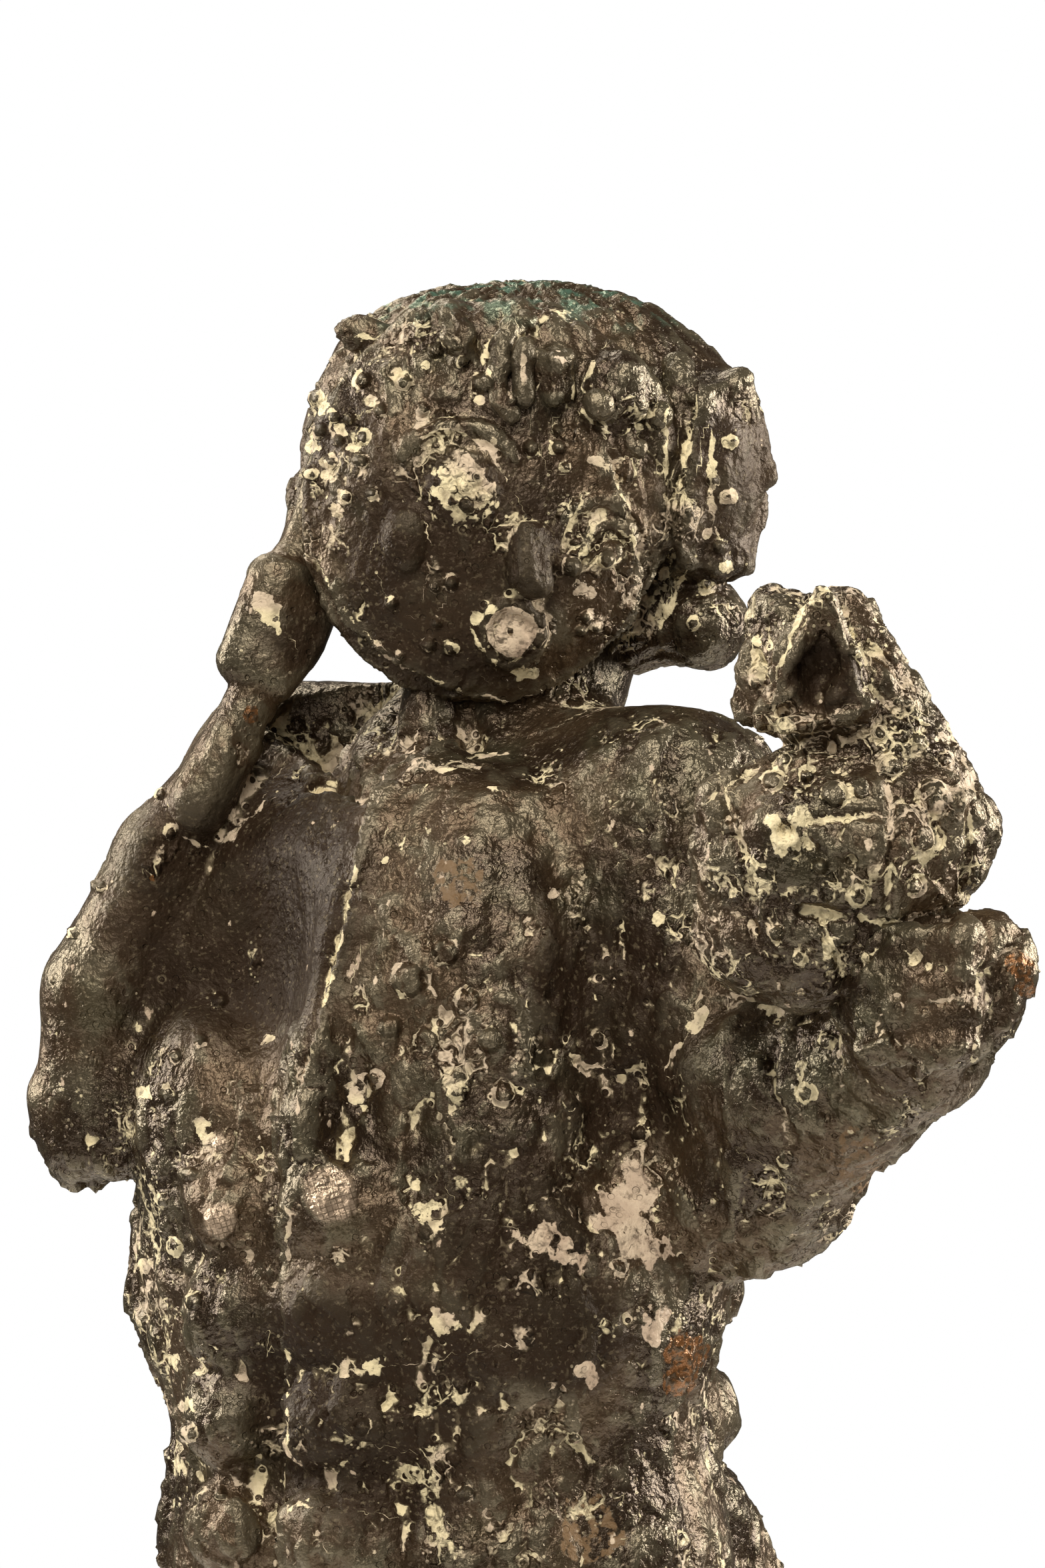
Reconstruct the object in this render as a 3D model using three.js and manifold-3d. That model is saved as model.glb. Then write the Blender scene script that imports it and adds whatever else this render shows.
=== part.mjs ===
// A bronze faun on a low base, modelled as the one casting that it is. The figure is built up the way the wax
// was: rounded lumps, limbs, rings and slabs pressed onto each other, each softened into what it sits on. The
// lumps make one smooth solid, its surface is meshed on a grid, and flat stretches are given fewer facets.
// Millimetres, +Z up, -Y towards the viewer. The origin is the middle of the base's underside.
import * as THREE from "three";
import { edgeTable, triTable } from "three/addons/objects/MarchingCubes.js";
import { mergeVertices } from "three/addons/utils/BufferGeometryUtils.js";
import Module from "manifold-3d";

// Driving dimensions, in millimetres.
const FIGURE_HEIGHT = 746; // from the top of the base to the crown of the hair
const BASE_LENGTH = 244; // along X
const BASE_WIDTH = 216; // along Y
const BASE_THICKNESS = 24;
const BASE_CORNER = 70; // radius of the base's corners
const BASE_BEVEL = 4; // worn edge round the top and the underside
const HOOF_SINK = 3; // how far the hooves are let into the base

// How finely the wax is meshed.
const CELL = 2.4; // grid spacing, in millimetres
const FACETS = 8900; // triangles that the figure keeps
const FINE_ABOVE = 745; // from here up, head and hands keep more of their facets
const FINE_CARE = 5;
const THINNEST = 0.06; // the least area of a facet, as a share of its longest side squared, doubled
const SHARPEST_TURN = 0.35; // cosine of the most that a facet may turn when its neighbours are simplified

// The figure keeps its pose and its forms as thousandths of its own height.
const SHARE = FIGURE_HEIGHT / 1000;
const BRONZE = { color: 0x3a332b, roughness: 0.5, metalness: 0.75 };

// The torso is turned to the viewer's left, and the head leans to the viewer's right.
const TORSO_TURN = -42;
const HEAD_LEAN = 17;

const at = (x, y, z) => new THREE.Vector3(x, y, z);
const UP = at(0, 0, 1);
const turned = (vector, degrees) => vector.clone().applyAxisAngle(UP, THREE.MathUtils.degToRad(degrees));
const FORWARD = turned(at(0, -1, 0), TORSO_TURN); // where the chest faces
const LEFT = turned(at(1, 0, 0), TORSO_TURN); // towards the figure's own left hand

// From a point (x, y, z) to a lump's own axes. tilt holds degrees about X, Y and Z.
function intoFrame(centre, tilt) {
  const [rx, ry, rz] = tilt.map(THREE.MathUtils.degToRad);
  const m = new THREE.Matrix4().makeRotationFromEuler(new THREE.Euler(rx, ry, rz, "ZYX")).transpose();
  const e = m.elements;
  return (x, y, z) => {
    const u = x - centre.x;
    const v = y - centre.y;
    const w = z - centre.z;
    return [
      e[0] * u + e[4] * v + e[8] * w,
      e[1] * u + e[5] * v + e[9] * w,
      e[2] * u + e[6] * v + e[10] * w,
    ];
  };
}

// Each shape gives the distance from a point to its surface, and a ball (centre, reach) that holds it.
function egg(centre, radii, tilt = [0, 0, 0]) {
  const [a, b, c] = radii;
  const local = intoFrame(centre, tilt);
  return {
    centre,
    reach: Math.max(a, b, c),
    distance(x, y, z) {
      const [u, v, w] = local(x, y, z);
      const near = Math.hypot(u / a, v / b, w / c);
      const slope = Math.hypot(u / (a * a), v / (b * b), w / (c * c));
      return slope < 1e-9 ? -Math.min(a, b, c) : (near * (near - 1)) / slope;
    },
  };
}

function limb(from, to, fromRadius, toRadius) {
  const span = to.clone().sub(from);
  const length2 = Math.max(span.lengthSq(), 1e-9);
  return {
    centre: from.clone().add(to).multiplyScalar(0.5),
    reach: span.length() / 2 + Math.max(fromRadius, toRadius),
    distance(x, y, z) {
      const u = x - from.x;
      const v = y - from.y;
      const w = z - from.z;
      const t = THREE.MathUtils.clamp((u * span.x + v * span.y + w * span.z) / length2, 0, 1);
      const radius = fromRadius + (toRadius - fromRadius) * t;
      return Math.hypot(u - span.x * t, v - span.y * t, w - span.z * t) - radius;
    },
  };
}

// A bent roll of wax: an arc that faces the viewer, from one clock angle to another, in degrees from +X.
function roll(centre, radius, thickness, start, sweep, tilt = [0, 0, 0]) {
  const local = intoFrame(centre, tilt);
  const middle = THREE.MathUtils.degToRad(start + sweep / 2);
  const half = THREE.MathUtils.degToRad(Math.abs(sweep) / 2);
  return {
    centre,
    reach: radius + thickness,
    distance(x, y, z) {
      const [u, v, w] = local(x, y, z);
      const off = Math.atan2(Math.sin(Math.atan2(w, u) - middle), Math.cos(Math.atan2(w, u) - middle));
      const angle = middle + THREE.MathUtils.clamp(off, -half, half);
      return Math.hypot(u - radius * Math.cos(angle), v, w - radius * Math.sin(angle)) - thickness;
    },
  };
}

function slab(centre, half, round, tilt = [0, 0, 0]) {
  const local = intoFrame(centre, tilt);
  return {
    centre,
    reach: Math.hypot(...half),
    distance(x, y, z) {
      const q = local(x, y, z).map((value, i) => Math.abs(value) - half[i] + round);
      const out = Math.hypot(Math.max(q[0], 0), Math.max(q[1], 0), Math.max(q[2], 0));
      return out + Math.min(Math.max(...q), 0) - round;
    },
  };
}

// The wax holds lumps in the order in which they are pressed on or cut away.
const FAR = 1e3;
const wax = [];
const press = (blend, ...shapes) => shapes.forEach((shape) => wax.push({ shape, blend, cut: false }));
const carve = (blend, ...shapes) => shapes.forEach((shape) => wax.push({ shape, blend, cut: true }));

function distanceTo(lumps, x, y, z) {
  let d = FAR;
  for (const { shape, blend, cut } of lumps) {
    const { centre, reach } = shape;
    const clear = Math.hypot(x - centre.x, y - centre.y, z - centre.z) - reach;
    if (cut ? clear > blend - d : clear > d + blend) continue;
    const s = shape.distance(x, y, z);
    const other = cut ? -s : s;
    const soft = Math.max(blend - Math.abs(d - other), 0) / blend;
    const bulge = (soft * soft * blend) / 4;
    d = cut ? Math.max(d, other) + bulge : Math.min(d, other) - bulge;
  }
  return d;
}

// A chain of limbs through points [x, y, z, radius].
function chain(blend, points) {
  for (let i = 1; i < points.length; i += 1) {
    const [a, b] = [points[i - 1], points[i]];
    press(blend, limb(at(a[0], a[1], a[2]), at(b[0], b[1], b[2]), a[3], b[3]));
  }
}

// Where the face's front surface lies, so that eyes, nose and mouth sit on it.
const FACE = { centre: at(12, -18, 922), radii: [60, 28, 68] };
function onFace(x, z, out = 0) {
  const u = (x - FACE.centre.x) / FACE.radii[0];
  const w = (z - FACE.centre.z) / FACE.radii[2];
  return at(x, FACE.centre.y - FACE.radii[1] * Math.sqrt(Math.max(1 - u * u - w * w, 0)) - out, z);
}

function torso() {
  const turn = [0, 0, TORSO_TURN];
  press(1, egg(at(-10, 4, 745), [102, 76, 100], turn));
  press(22, egg(at(-10, 2, 662), [117, 82, 100], turn));
  press(24, egg(at(-3, 4, 560), [110, 80, 92], turn));
  press(22, egg(at(2, 10, 505), [106, 80, 62], turn));
  // The near breast swells from the collar to the ribs, and the breastbone is its edge.
  press(18, egg(at(4, -44, 752), [52, 36, 76], [0, 10, -18]));
  const breastbone = [[-13, -28, 826, 9], [-26, -46, 803, 10], [-36, -60, 774, 10], [-43, -68, 738, 10]];
  chain(8, [...breastbone, [-50, -69, 702, 8]]);
  // Past that edge the chest falls away into a hollow, with the far breast below it.
  carve(16, egg(at(-82, -48, 772), [32, 30, 52], [0, 6, -40]));
  press(16, egg(at(-86, -22, 712), [25, 16, 36], [0, -4, -50]));
  // A trough runs down from the near armpit.
  carve(12, limb(at(49, -86, 806), at(54, -92, 700), 16, 15));
  // The rows of the belly, either side of its furrow.
  carve(8, limb(at(-56, -78, 690), at(-58, -72, 560), 7, 6));
  for (let row = 0; row < 4; row += 1) {
    const z = 687 - 36 * row;
    press(9, egg(at(-36, -73 + row, z), [19, 13, 16], [0, 0, -22]));
    press(9, egg(at(-75, -45 + row, z - 2), [16, 13, 16], [0, 0, -52]));
  }
  // The flank's hard edge and the knobs down the back of it.
  chain(6, [[84, -6, 656, 7], [82, -8, 610, 8], [84, -6, 560, 7]]);
  [[650, 22], [610, 19], [574, 21]].forEach(([z, out]) => press(9, egg(at(79, 24, z), [out, 20, 18])));
  // Shoulder blades and the furrow of the spine, plainer than the front.
  press(16, egg(at(62, 24, 770), [30, 16, 44], turn), egg(at(0, 76, 770), [30, 16, 44], turn));
  press(22, egg(at(26, 56, 590), [50, 32, 46], turn));
  carve(14, limb(at(42, 66, 800), at(48, 78, 590), 6, 7));
  press(10, egg(at(71, 48, 525), [49, 44, 60]));
  press(18, egg(at(20, 82, 522), [46, 40, 58]));
}

function shouldersAndNeck() {
  press(18, limb(at(26, 8, 832), at(72, -38, 814), 24, 36));
  press(18, limb(at(4, 14, 836), at(-58, 44, 827), 25, 35));
  press(12, limb(at(12, 12, 815), at(34, 24, 885), 35, 33));
  // The cord of the neck, and the hollow beside it.
  press(2, limb(at(-11, -18, 836), at(-6, -10, 868), 9, 9));
  carve(3, egg(at(6, -24, 846), [6, 8, 12]));
}

// The arm that is folded back to the head: upper arm and elbow, then the forearm up its outer side. A ridge parts
// the forearm's outer face from the inner one, which runs on into the chest's hollow.
function raisedArm() {
  chain(12, [[-60, 42, 822, 32], [-92, 22, 762, 29], [-116, 12, 716, 23]]);
  press(8, slab(at(-112, 12, 718), [32, 12, 18], 6, [0, -24, 8]));
  press(16, egg(at(-80, 30, 784), [32, 40, 58], [0, 22, 0]));
  chain(6, [[-127, 10, 708, 18], [-121, 4, 755, 19], [-99, -2, 802, 16], [-76, -6, 838, 10]]);
  carve(2, slab(at(-92, -38, 785), [14, 22, 40], 1, [0, 22, 24]));
  // The wrist's strip ends bluntly on the forearm, and a flat slice runs across it.
  press(2, limb(at(-69, -10, 852), at(-86, -12, 820), 9.5, 11));
  carve(1, slab(at(-74, -35, 832), [18, 14, 36], 1, [0, 24, 12]));
  // Palm, and the fingers that reach the hair behind it. Another slice makes the hand's sharp edge.
  press(4, slab(at(-59, -8, 879), [16.5, 13, 23], 8, [0, 20, 0]));
  carve(2, slab(at(-37, -8, 857), [14, 30, 26], 1, [0, 37, 0]));
  chain(3, [[-56, -2, 896, 10], [-50, 0, 912, 6], [-45, 0, 936, 4.5]]);
  chain(5, [[-55, 4, 896, 9], [-50, 14, 920, 6], [-42, 20, 940, 5]]);
  carve(1, slab(at(-46, -34, 872), [30, 17, 44], 1, [0, 20, 30]));
}

// The arm held out to the viewer, with its fist under the lump that it carries.
function heldOutArm() {
  chain(14, [[72, -40, 812, 36], [88, -52, 748, 32], [100, -60, 698, 31]]);
  chain(12, [[100, -60, 698, 31], [124, -92, 728, 27], [150, -128, 742, 22]]);
  press(12, egg(at(107, -84, 730), [31, 28, 28]));
  press(7, egg(at(150, -142, 760), [28, 27, 27]), egg(at(169, -148, 764), [16, 18, 24], [0, 12, 0]));
  // Fingers curl round the front of the fist.
  for (let i = 0; i < 4; i += 1) {
    const z = 776 - 11 * i;
    press(3, limb(at(134, -158, z), at(160, -167, z + 1), 6.5, 7.5));
  }
  carve(2, limb(at(169, -178, 786), at(171, -176, 742), 3, 3));
}

// The lump in the hand: a hooded knob over a squat, banded barrel with grape-like bosses on its sides.
function heldLump() {
  press(5, egg(at(118, -140, 862), [25, 22, 25]), limb(at(128, -140, 862), at(148, -138, 824), 17, 20));
  press(4, egg(at(104, -140, 880), [9, 12, 9]), egg(at(126, -138, 881), [10, 13, 8]));
  press(5, egg(at(126, -138, 806), [46, 36, 34]), egg(at(116, -134, 782), [38, 32, 28]));
  press(4, egg(at(92, -142, 798), [14, 16, 27]));
  // The hood's pointed arch over its hollow, and the lip under that.
  carve(2, egg(at(117, -166, 861), [9.5, 11, 15]));
  const arch = [[99, -155, 846, 4], [107, -161, 866, 4], [118, -164, 883, 4], [126, -162, 868, 4]];
  chain(2, [...arch, [130, -157, 850, 4.5]]);
  press(2, limb(at(104, -158, 844), at(126, -159, 848), 3, 3));
  // Grooves that divide the barrel.
  carve(2, limb(at(138, -179, 826), at(138, -174, 790), 2.5, 2.5));
  carve(2, limb(at(88, -166, 785), at(160, -170, 785), 3, 3));
  const bosses = 9;
  for (let i = 0; i < bosses; i += 1) {
    const angle = (i / bosses) * Math.PI * 2;
    const rise = 7 * Math.sin(3 * angle);
    press(3, egg(at(126 + 38 * Math.cos(angle), -138 - 28 * Math.sin(angle), 812 + rise), [12, 11, 12]));
    press(3, egg(at(119 + 24 * Math.cos(angle), -139 - 20 * Math.sin(angle), 858 + rise), [6, 6, 8]));
  }
}

function head() {
  const lean = [0, HEAD_LEAN, 0];
  press(10, egg(at(28, 25, 935), [79, 46, 65]), egg(at(0, 14, 949), [48, 40, 47]));
  press(5, egg(FACE.centre, FACE.radii, lean));
  // The face is a disc with a raised rim, like a lid on the hair.
  press(2.5, egg(at(12, -22, 922), [62, 8, 69], lean));
  // The fringe is a thick band over the brow.
  press(5, roll(at(14, -20, 919), 57, 9, 10, 160, lean));
}

function face() {
  // Eyes: a disc on the near side and a lidded ball on the far one, with a brow above each.
  press(1, egg(onFace(4, 925), [10.5, 4, 10.5]));
  press(1.5, roll(onFace(2, 926, -1), 20, 2.2, 25, 125));
  press(1.5, roll(onFace(53, 904), 9, 1.6, 20, 150), egg(onFace(53, 903), [4.5, 5, 4.5]));
  press(1.5, roll(onFace(50, 904, -1), 17, 2, 30, 140), egg(onFace(39, 900), [4, 4, 4]));
  // Cheek pellet, the nose's two faces and its tip, and the mouth's disc in its ring.
  press(2, egg(onFace(-15, 908), [8, 5, 11], [0, 6, 0]));
  press(2, slab(onFace(26, 902, 1), [6.5, 6.5, 10.5], 3, [-10, 4, 38]), egg(onFace(28, 892, 3), [6, 7, 4.5]));
  press(1.5, roll(onFace(20, 876), 9.2, 2.2, 0, 360), egg(onFace(20, 876, -1), [8, 4, 8]));
}

function hair() {
  // Fringe: a thick band, and on it a tall curl, a ridged leaf and a large knob with pellets over the brow.
  press(6, egg(at(26, -26, 966), [46, 11, 17], [0, HEAD_LEAN, 0]));
  const curl = [[26, 981, 3], [19.5, 978.5, 3.4], [15.7, 972, 3.4], [14.4, 963, 3.2], [16, 954, 2.8], [20, 949, 2]];
  chain(1.5, curl.map(([x, z, radius]) => [...onFace(x, z, 5), radius]));
  press(1, egg(onFace(24, 964, 6), [2.6, 3, 11]), slab(onFace(34, 962, 3), [5, 5.5, 8.5], 1.5, [6, -10, 42]));
  press(1.5, limb(onFace(43, 978, 4), onFace(46, 966, 4), 4, 2));
  press(2, egg(onFace(54, 958, 4), [12, 8, 13], [0, 12, 0]));
  const pellets = [[58, 964, 9], [60, 954, 8], [49, 953, 7]];
  pellets.forEach(([x, z, out]) => press(1, egg(onFace(x, z, out), [4, 4, 4])));
  [[4, 966, 8], [-14, 962, 8], [66, 944, 7]].forEach(([x, z, radius]) => {
    press(1.5, roll(at(x, -33, z), radius, 2.4, 60, 180, [-24, 0, 0]));
  });
  // Two small horns rise out of the curls.
  press(1.5, limb(onFace(-1, 985, 5), onFace(5, 976, 5), 3, 3.6));
  chain(2, [[6, -34, 966, 5], [2, -39, 975, 4.4], [-2, -41, 984, 2.4]]);
  chain(4, [[-22, -8, 976, 7], [-30, -8, 979, 6], [-37, -10, 981, 4.5]]);
  // The thick hair beside the far cheek, with its locks and the lobe that hangs behind the jaw.
  press(7, egg(at(86, 8, 930), [21, 34, 38], [0, 10, 0]), egg(at(86, 4, 880), [15, 20, 15]));
  press(6, egg(at(62, 16, 884), [26, 24, 20]));
  press(2, slab(at(90, -6, 944), [12, 12, 20], 2, [6, -22, 30]), slab(at(94, 2, 914), [7, 10, 17], 2, [-4, 15, 48]));
  press(2, slab(at(86, -10, 914), [8, 9, 15], 2, [6, 8, 16]), egg(at(88, -8, 900), [8, 9, 6]));
  chain(5, [[77, -14, 966, 5], [80, -20, 934, 4.5], [77, -17, 908, 4]]);
  // Ear and hair on the side of the raised hand, and locks round the back, plainer.
  press(4, egg(at(-42, 18, 936), [9, 14, 16]), egg(at(-38, 26, 912), [11, 14, 14]));
  press(1.5, egg(at(-50, 14, 924), [7, 9, 12]));
  const round = 9;
  for (let i = 0; i < round; i += 1) {
    const angle = THREE.MathUtils.degToRad(25 + (130 * i) / (round - 1));
    const [x, y] = [28 + 68 * Math.cos(angle), 20 + 42 * Math.sin(angle)];
    press(4, limb(at(x, y, 952), at(28 + (x - 28) * 0.92, 20 + (y - 20) * 0.96, 898 + 8 * (i % 2)), 11, 6));
  }
}

// A goat's leg: shaggy thigh, knee forward, hock back, and a cloven hoof.
function leg(side, step) {
  const place = (out, ahead, z) => {
    return at(4, 12, z).addScaledVector(LEFT, side * out).addScaledVector(FORWARD, ahead + step);
  };
  const [hip, knee, hock, fetlock] = [
    place(48, -step, 500),
    place(54, 34, 322),
    place(56, -34, 160),
    place(58, -14, 46),
  ];
  press(20, limb(hip, knee, 58, 37));
  press(18, egg(place(32, -38 - step, 458), [42, 42, 62])); // the back of the thigh, under the haunch
  press(10, limb(knee, hock, 35, 23));
  press(7, limb(hock, fetlock, 22, 18));
  press(6, egg(fetlock.clone().add(at(0, 0, -2)), [20, 20, 15]));
  [-1, 1].forEach((half) => {
    const [heel, toe] = [place(58 + 11 * half, -12, 34), place(58 + 11 * half, 3, 14 - HOOF_SINK / SHARE)];
    press(2, limb(heel, toe, 12, 14));
  });
  // Locks of the coat lie in rows from the hip to below the knee, each row over the next.
  const [rows, around] = [5, 7];
  for (let row = rows - 1; row >= 0; row -= 1) {
    const down = row / (rows - 1);
    const middle = hip.clone().lerp(knee, 0.2 + 0.85 * down);
    const radius = 54 - 20 * down;
    for (let i = 0; i < around; i += 1) {
      const angle = ((i + (row % 2) / 2) / around) * Math.PI * 2;
      const out = at(Math.cos(angle), Math.sin(angle), 0);
      const root = middle.clone().addScaledVector(out, radius - 6).add(at(0, 0, 16));
      const tip = middle.clone().addScaledVector(out, radius - 3).add(at(0, 0, -26));
      press(4, limb(root, tip, 13, 4));
    }
  }
}

function tail() {
  chain(5, [[54, 76, 574, 13], [76, 106, 566, 14], [86, 120, 540, 12], [88, 120, 508, 5]]);
}

// The lumps' common surface, in millimetres with the hooves' soles at z = 0, by marching over a grid of cells.
function meshedWax() {
  const cell = CELL / SHARE;
  const low = at(-175, -200, -14);
  const high = at(205, 150, 1030);
  const [nx, ny, nz] = ["x", "y", "z"].map((axis) => Math.ceil((high[axis] - low[axis]) / cell) + 1);
  const values = new Float32Array(nx * ny * nz);
  // Only blocks of cells that the surface may pass through are worked out point by point.
  const block = 6;
  const half = (block - 1) / 2;
  const clearance = half * cell * Math.sqrt(3);
  for (let k = 0; k < nz; k += block)
    for (let j = 0; j < ny; j += block)
      for (let i = 0; i < nx; i += block) {
        const [x, y, z] = [low.x + (i + half) * cell, low.y + (j + half) * cell, low.z + (k + half) * cell];
        const middle = distanceTo(wax, x, y, z);
        const far = Math.abs(middle) > 2 * clearance;
        const near = wax.filter(({ shape: { centre, reach }, blend }) => {
          const apart = Math.hypot(x - centre.x, y - centre.y, z - centre.z) - reach;
          return apart < Math.abs(middle) + 2 * clearance + blend;
        });
        for (let c = k; c < Math.min(k + block, nz); c += 1)
          for (let b = j; b < Math.min(j + block, ny); b += 1)
            for (let a = i; a < Math.min(i + block, nx); a += 1) {
              const corner = [low.x + a * cell, low.y + b * cell, low.z + c * cell];
              values[a + nx * (b + ny * c)] = far ? middle : distanceTo(near, ...corner);
            }
      }
  const corners = [0, 1, 1 + nx, nx].concat([0, 1, 1 + nx, nx].map((n) => n + nx * ny));
  const ends = [[0, 1], [1, 2], [2, 3], [3, 0], [4, 5], [5, 6], [6, 7], [7, 4], [0, 4], [1, 5], [2, 6], [3, 7]];
  const [points, faces, made] = [[], [], new Map()];
  const vertexOn = (a, b) => {
    const key = a < b ? a * 8 + [1, nx, nx * ny].indexOf(b - a) : b * 8 + [1, nx, nx * ny].indexOf(a - b);
    if (!made.has(key)) {
      const t = THREE.MathUtils.clamp(values[a] / (values[a] - values[b]), 0.06, 0.94);
      const place = (n) => [n % nx, Math.floor(n / nx) % ny, Math.floor(n / (nx * ny))];
      const [p, q] = [place(a), place(b)];
      made.set(key, points.length);
      const along = (axis) => low.getComponent(axis) + (p[axis] + (q[axis] - p[axis]) * t) * cell;
      points.push([0, 1, 2].map((axis) => along(axis) * SHARE));
    }
    return made.get(key);
  };
  for (let k = 0; k < nz - 1; k += 1)
    for (let j = 0; j < ny - 1; j += 1)
      for (let i = 0; i < nx - 1; i += 1) {
        const here = i + nx * (j + ny * k);
        let inside = 0;
        for (let c = 0; c < 8; c += 1) if (values[here + corners[c]] < 0) inside |= 1 << c;
        if (!edgeTable[inside]) continue;
        for (let t = inside * 16; triTable[t] !== -1; t += 3)
          faces.push([0, 2, 1].map((turn) => {
            const [from, to] = ends[triTable[t + turn]];
            return vertexOn(here + corners[from], here + corners[to]);
          }));
      }
  return { points, faces };
}

// Facets are given up where they show least: the edge whose loss moves the surface least goes first.
function simplified({ points, faces }, keep) {
  const spread = 1e-3; // a slight pull to where points are, which keeps the facets of a flat stretch even
  const quadrics = points.map(([x, y, z]) => {
    const n2 = x * x + y * y + z * z;
    return [1, 0, 0, -x, 1, 0, -y, 1, -z, n2].map((value) => value * spread * CELL * CELL);
  });
  const touching = points.map(() => new Set());
  const normalOf = (face, moved = -1, other = -1, target = null) => {
    const [a, b, c] = face.map((v) => (v === moved || v === other ? target : points[v]));
    const [ux, uy, uz] = [b[0] - a[0], b[1] - a[1], b[2] - a[2]];
    const [vx, vy, vz] = [c[0] - a[0], c[1] - a[1], c[2] - a[2]];
    return [uy * vz - uz * vy, uz * vx - ux * vz, ux * vy - uy * vx];
  };
  faces.forEach((face, f) => {
    const care = points[face[0]][2] > FINE_ABOVE * SHARE ? FINE_CARE : 1;
    const n = normalOf(face);
    const size = Math.hypot(...n);
    const [a, b, c] = n.map((value) => value / size);
    const p = points[face[0]];
    const d = -(a * p[0] + b * p[1] + c * p[2]);
    const plane = [a * a, a * b, a * c, a * d, b * b, b * c, b * d, c * c, c * d, d * d];
    face.forEach((v) => {
      touching[v].add(f);
      plane.forEach((value, i) => (quadrics[v][i] += (care * value * size) / 2));
    });
  });
  const error = (q, [x, y, z]) =>
    q[0] * x * x + q[4] * y * y + q[7] * z * z + 2 * (q[1] * x * y + q[2] * x * z + q[5] * y * z) +
    2 * (q[3] * x + q[6] * y + q[8] * z) + q[9];
  const bestPlace = (q) => {
    const [a, b, c, d, e, f] = [q[0], q[1], q[2], q[4], q[5], q[7]];
    const [A, B, C] = [d * f - e * e, c * e - b * f, b * e - c * d];
    const det = a * A + b * B + c * C;
    const [D, E, F] = [a * f - c * c, b * c - a * e, a * d - b * b];
    const [r, s, t] = [-q[3], -q[6], -q[8]];
    return [(A * r + B * s + C * t) / det, (B * r + D * s + E * t) / det, (C * r + E * s + F * t) / det];
  };
  // The queue of edges, cheapest first.
  const queue = [];
  const swap = (i, j) => ([queue[i], queue[j]] = [queue[j], queue[i]]);
  const add = (entry) => {
    queue.push(entry);
    let i = queue.length - 1;
    while (i > 0 && queue[i].cost < queue[(i - 1) >> 1].cost) {
      swap(i, (i - 1) >> 1);
      i = (i - 1) >> 1;
    }
  };
  const take = () => {
    swap(0, queue.length - 1);
    const first = queue.pop();
    for (let i = 0; ; ) {
      let small = i;
      for (const j of [2 * i + 1, 2 * i + 2]) {
        if (j < queue.length && queue[j].cost < queue[small].cost) small = j;
      }
      if (small === i) return first;
      swap(i, small);
      i = small;
    }
  };
  const version = new Uint32Array(points.length);
  const offer = (a, b) => {
    const q = quadrics[a].map((value, i) => value + quadrics[b][i]);
    const target = bestPlace(q);
    add({ cost: error(q, target), a, b, q, target, stamp: version[a] + version[b] });
  };
  const neighbours = (v) => new Set([...touching[v]].flatMap((f) => faces[f]).filter((other) => other !== v));
  points.forEach((_, a) => neighbours(a).forEach((b) => a < b && offer(a, b)));
  let left = faces.length;
  while (left > keep && queue.length) {
    const { a, b, q, target, stamp } = take();
    if (!touching[a].size || !touching[b].size || stamp !== version[a] + version[b]) continue;
    const ring = neighbours(b);
    if ([...neighbours(a)].filter((v) => ring.has(v)).length !== 2) continue;
    const kept = [...touching[a], ...touching[b]].filter((f) => !(touching[a].has(f) && touching[b].has(f)));
    const folds = kept.some((f) => {
      const [before, after] = [normalOf(faces[f]), normalOf(faces[f], a, b, target)];
      const [m, n] = [Math.hypot(...before), Math.hypot(...after)];
      const spots = faces[f].map((v) => (v === a || v === b ? target : points[v]));
      const sides = spots.map((p, i) => Math.hypot(...p.map((value, k) => value - spots[(i + 1) % 3][k])));
      const longest = Math.max(...sides);
      const agree = before[0] * after[0] + before[1] * after[1] + before[2] * after[2];
      return n < THINNEST * longest * longest || agree < SHARPEST_TURN * m * n;
    });
    if (folds) continue;
    for (const f of [...touching[b]]) {
      if (touching[a].has(f)) {
        faces[f].forEach((v) => touching[v].delete(f));
        faces[f] = null;
        left -= 1;
      } else {
        faces[f] = faces[f].map((v) => (v === b ? a : v));
        touching[a].add(f);
      }
    }
    touching[b].clear();
    points[a] = target;
    quadrics[a] = q;
    version[a] += 1;
    version[b] += 1;
    neighbours(a).forEach((v) => offer(a, v));
  }
  return { points, faces: faces.filter((face) => face) };
}

const { Manifold, Mesh } = await Module().then((wasm) => {
  wasm.setup();
  return wasm;
});

function solidFrom(positions, triangles) {
  const [vertProperties, triVerts] = [Float32Array.from(positions), Uint32Array.from(triangles)];
  return new Manifold(new Mesh({ numProp: 3, vertProperties, triVerts }));
}

// The low base: a slab with rounded corners and worn edges.
function base() {
  const [a, b, r] = [BASE_LENGTH / 2 - BASE_BEVEL, BASE_WIDTH / 2 - BASE_BEVEL, BASE_CORNER - BASE_BEVEL];
  const outline = new THREE.Shape();
  outline.absarc(a - r, b - r, r, 0, Math.PI / 2);
  outline.absarc(r - a, b - r, r, Math.PI / 2, Math.PI);
  outline.absarc(r - a, r - b, r, Math.PI, 1.5 * Math.PI);
  outline.absarc(a - r, r - b, r, 1.5 * Math.PI, 2 * Math.PI);
  const shape = new THREE.ExtrudeGeometry(outline, {
    depth: BASE_THICKNESS - 2 * BASE_BEVEL,
    bevelThickness: BASE_BEVEL,
    bevelSize: BASE_BEVEL,
    bevelSegments: 2,
    curveSegments: 9,
  });
  shape.translate(0, 0, BASE_BEVEL);
  shape.deleteAttribute("uv");
  shape.deleteAttribute("normal");
  const joined = mergeVertices(shape, 1e-4);
  return solidFrom(joined.attributes.position.array, joined.index.array);
}

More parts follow.
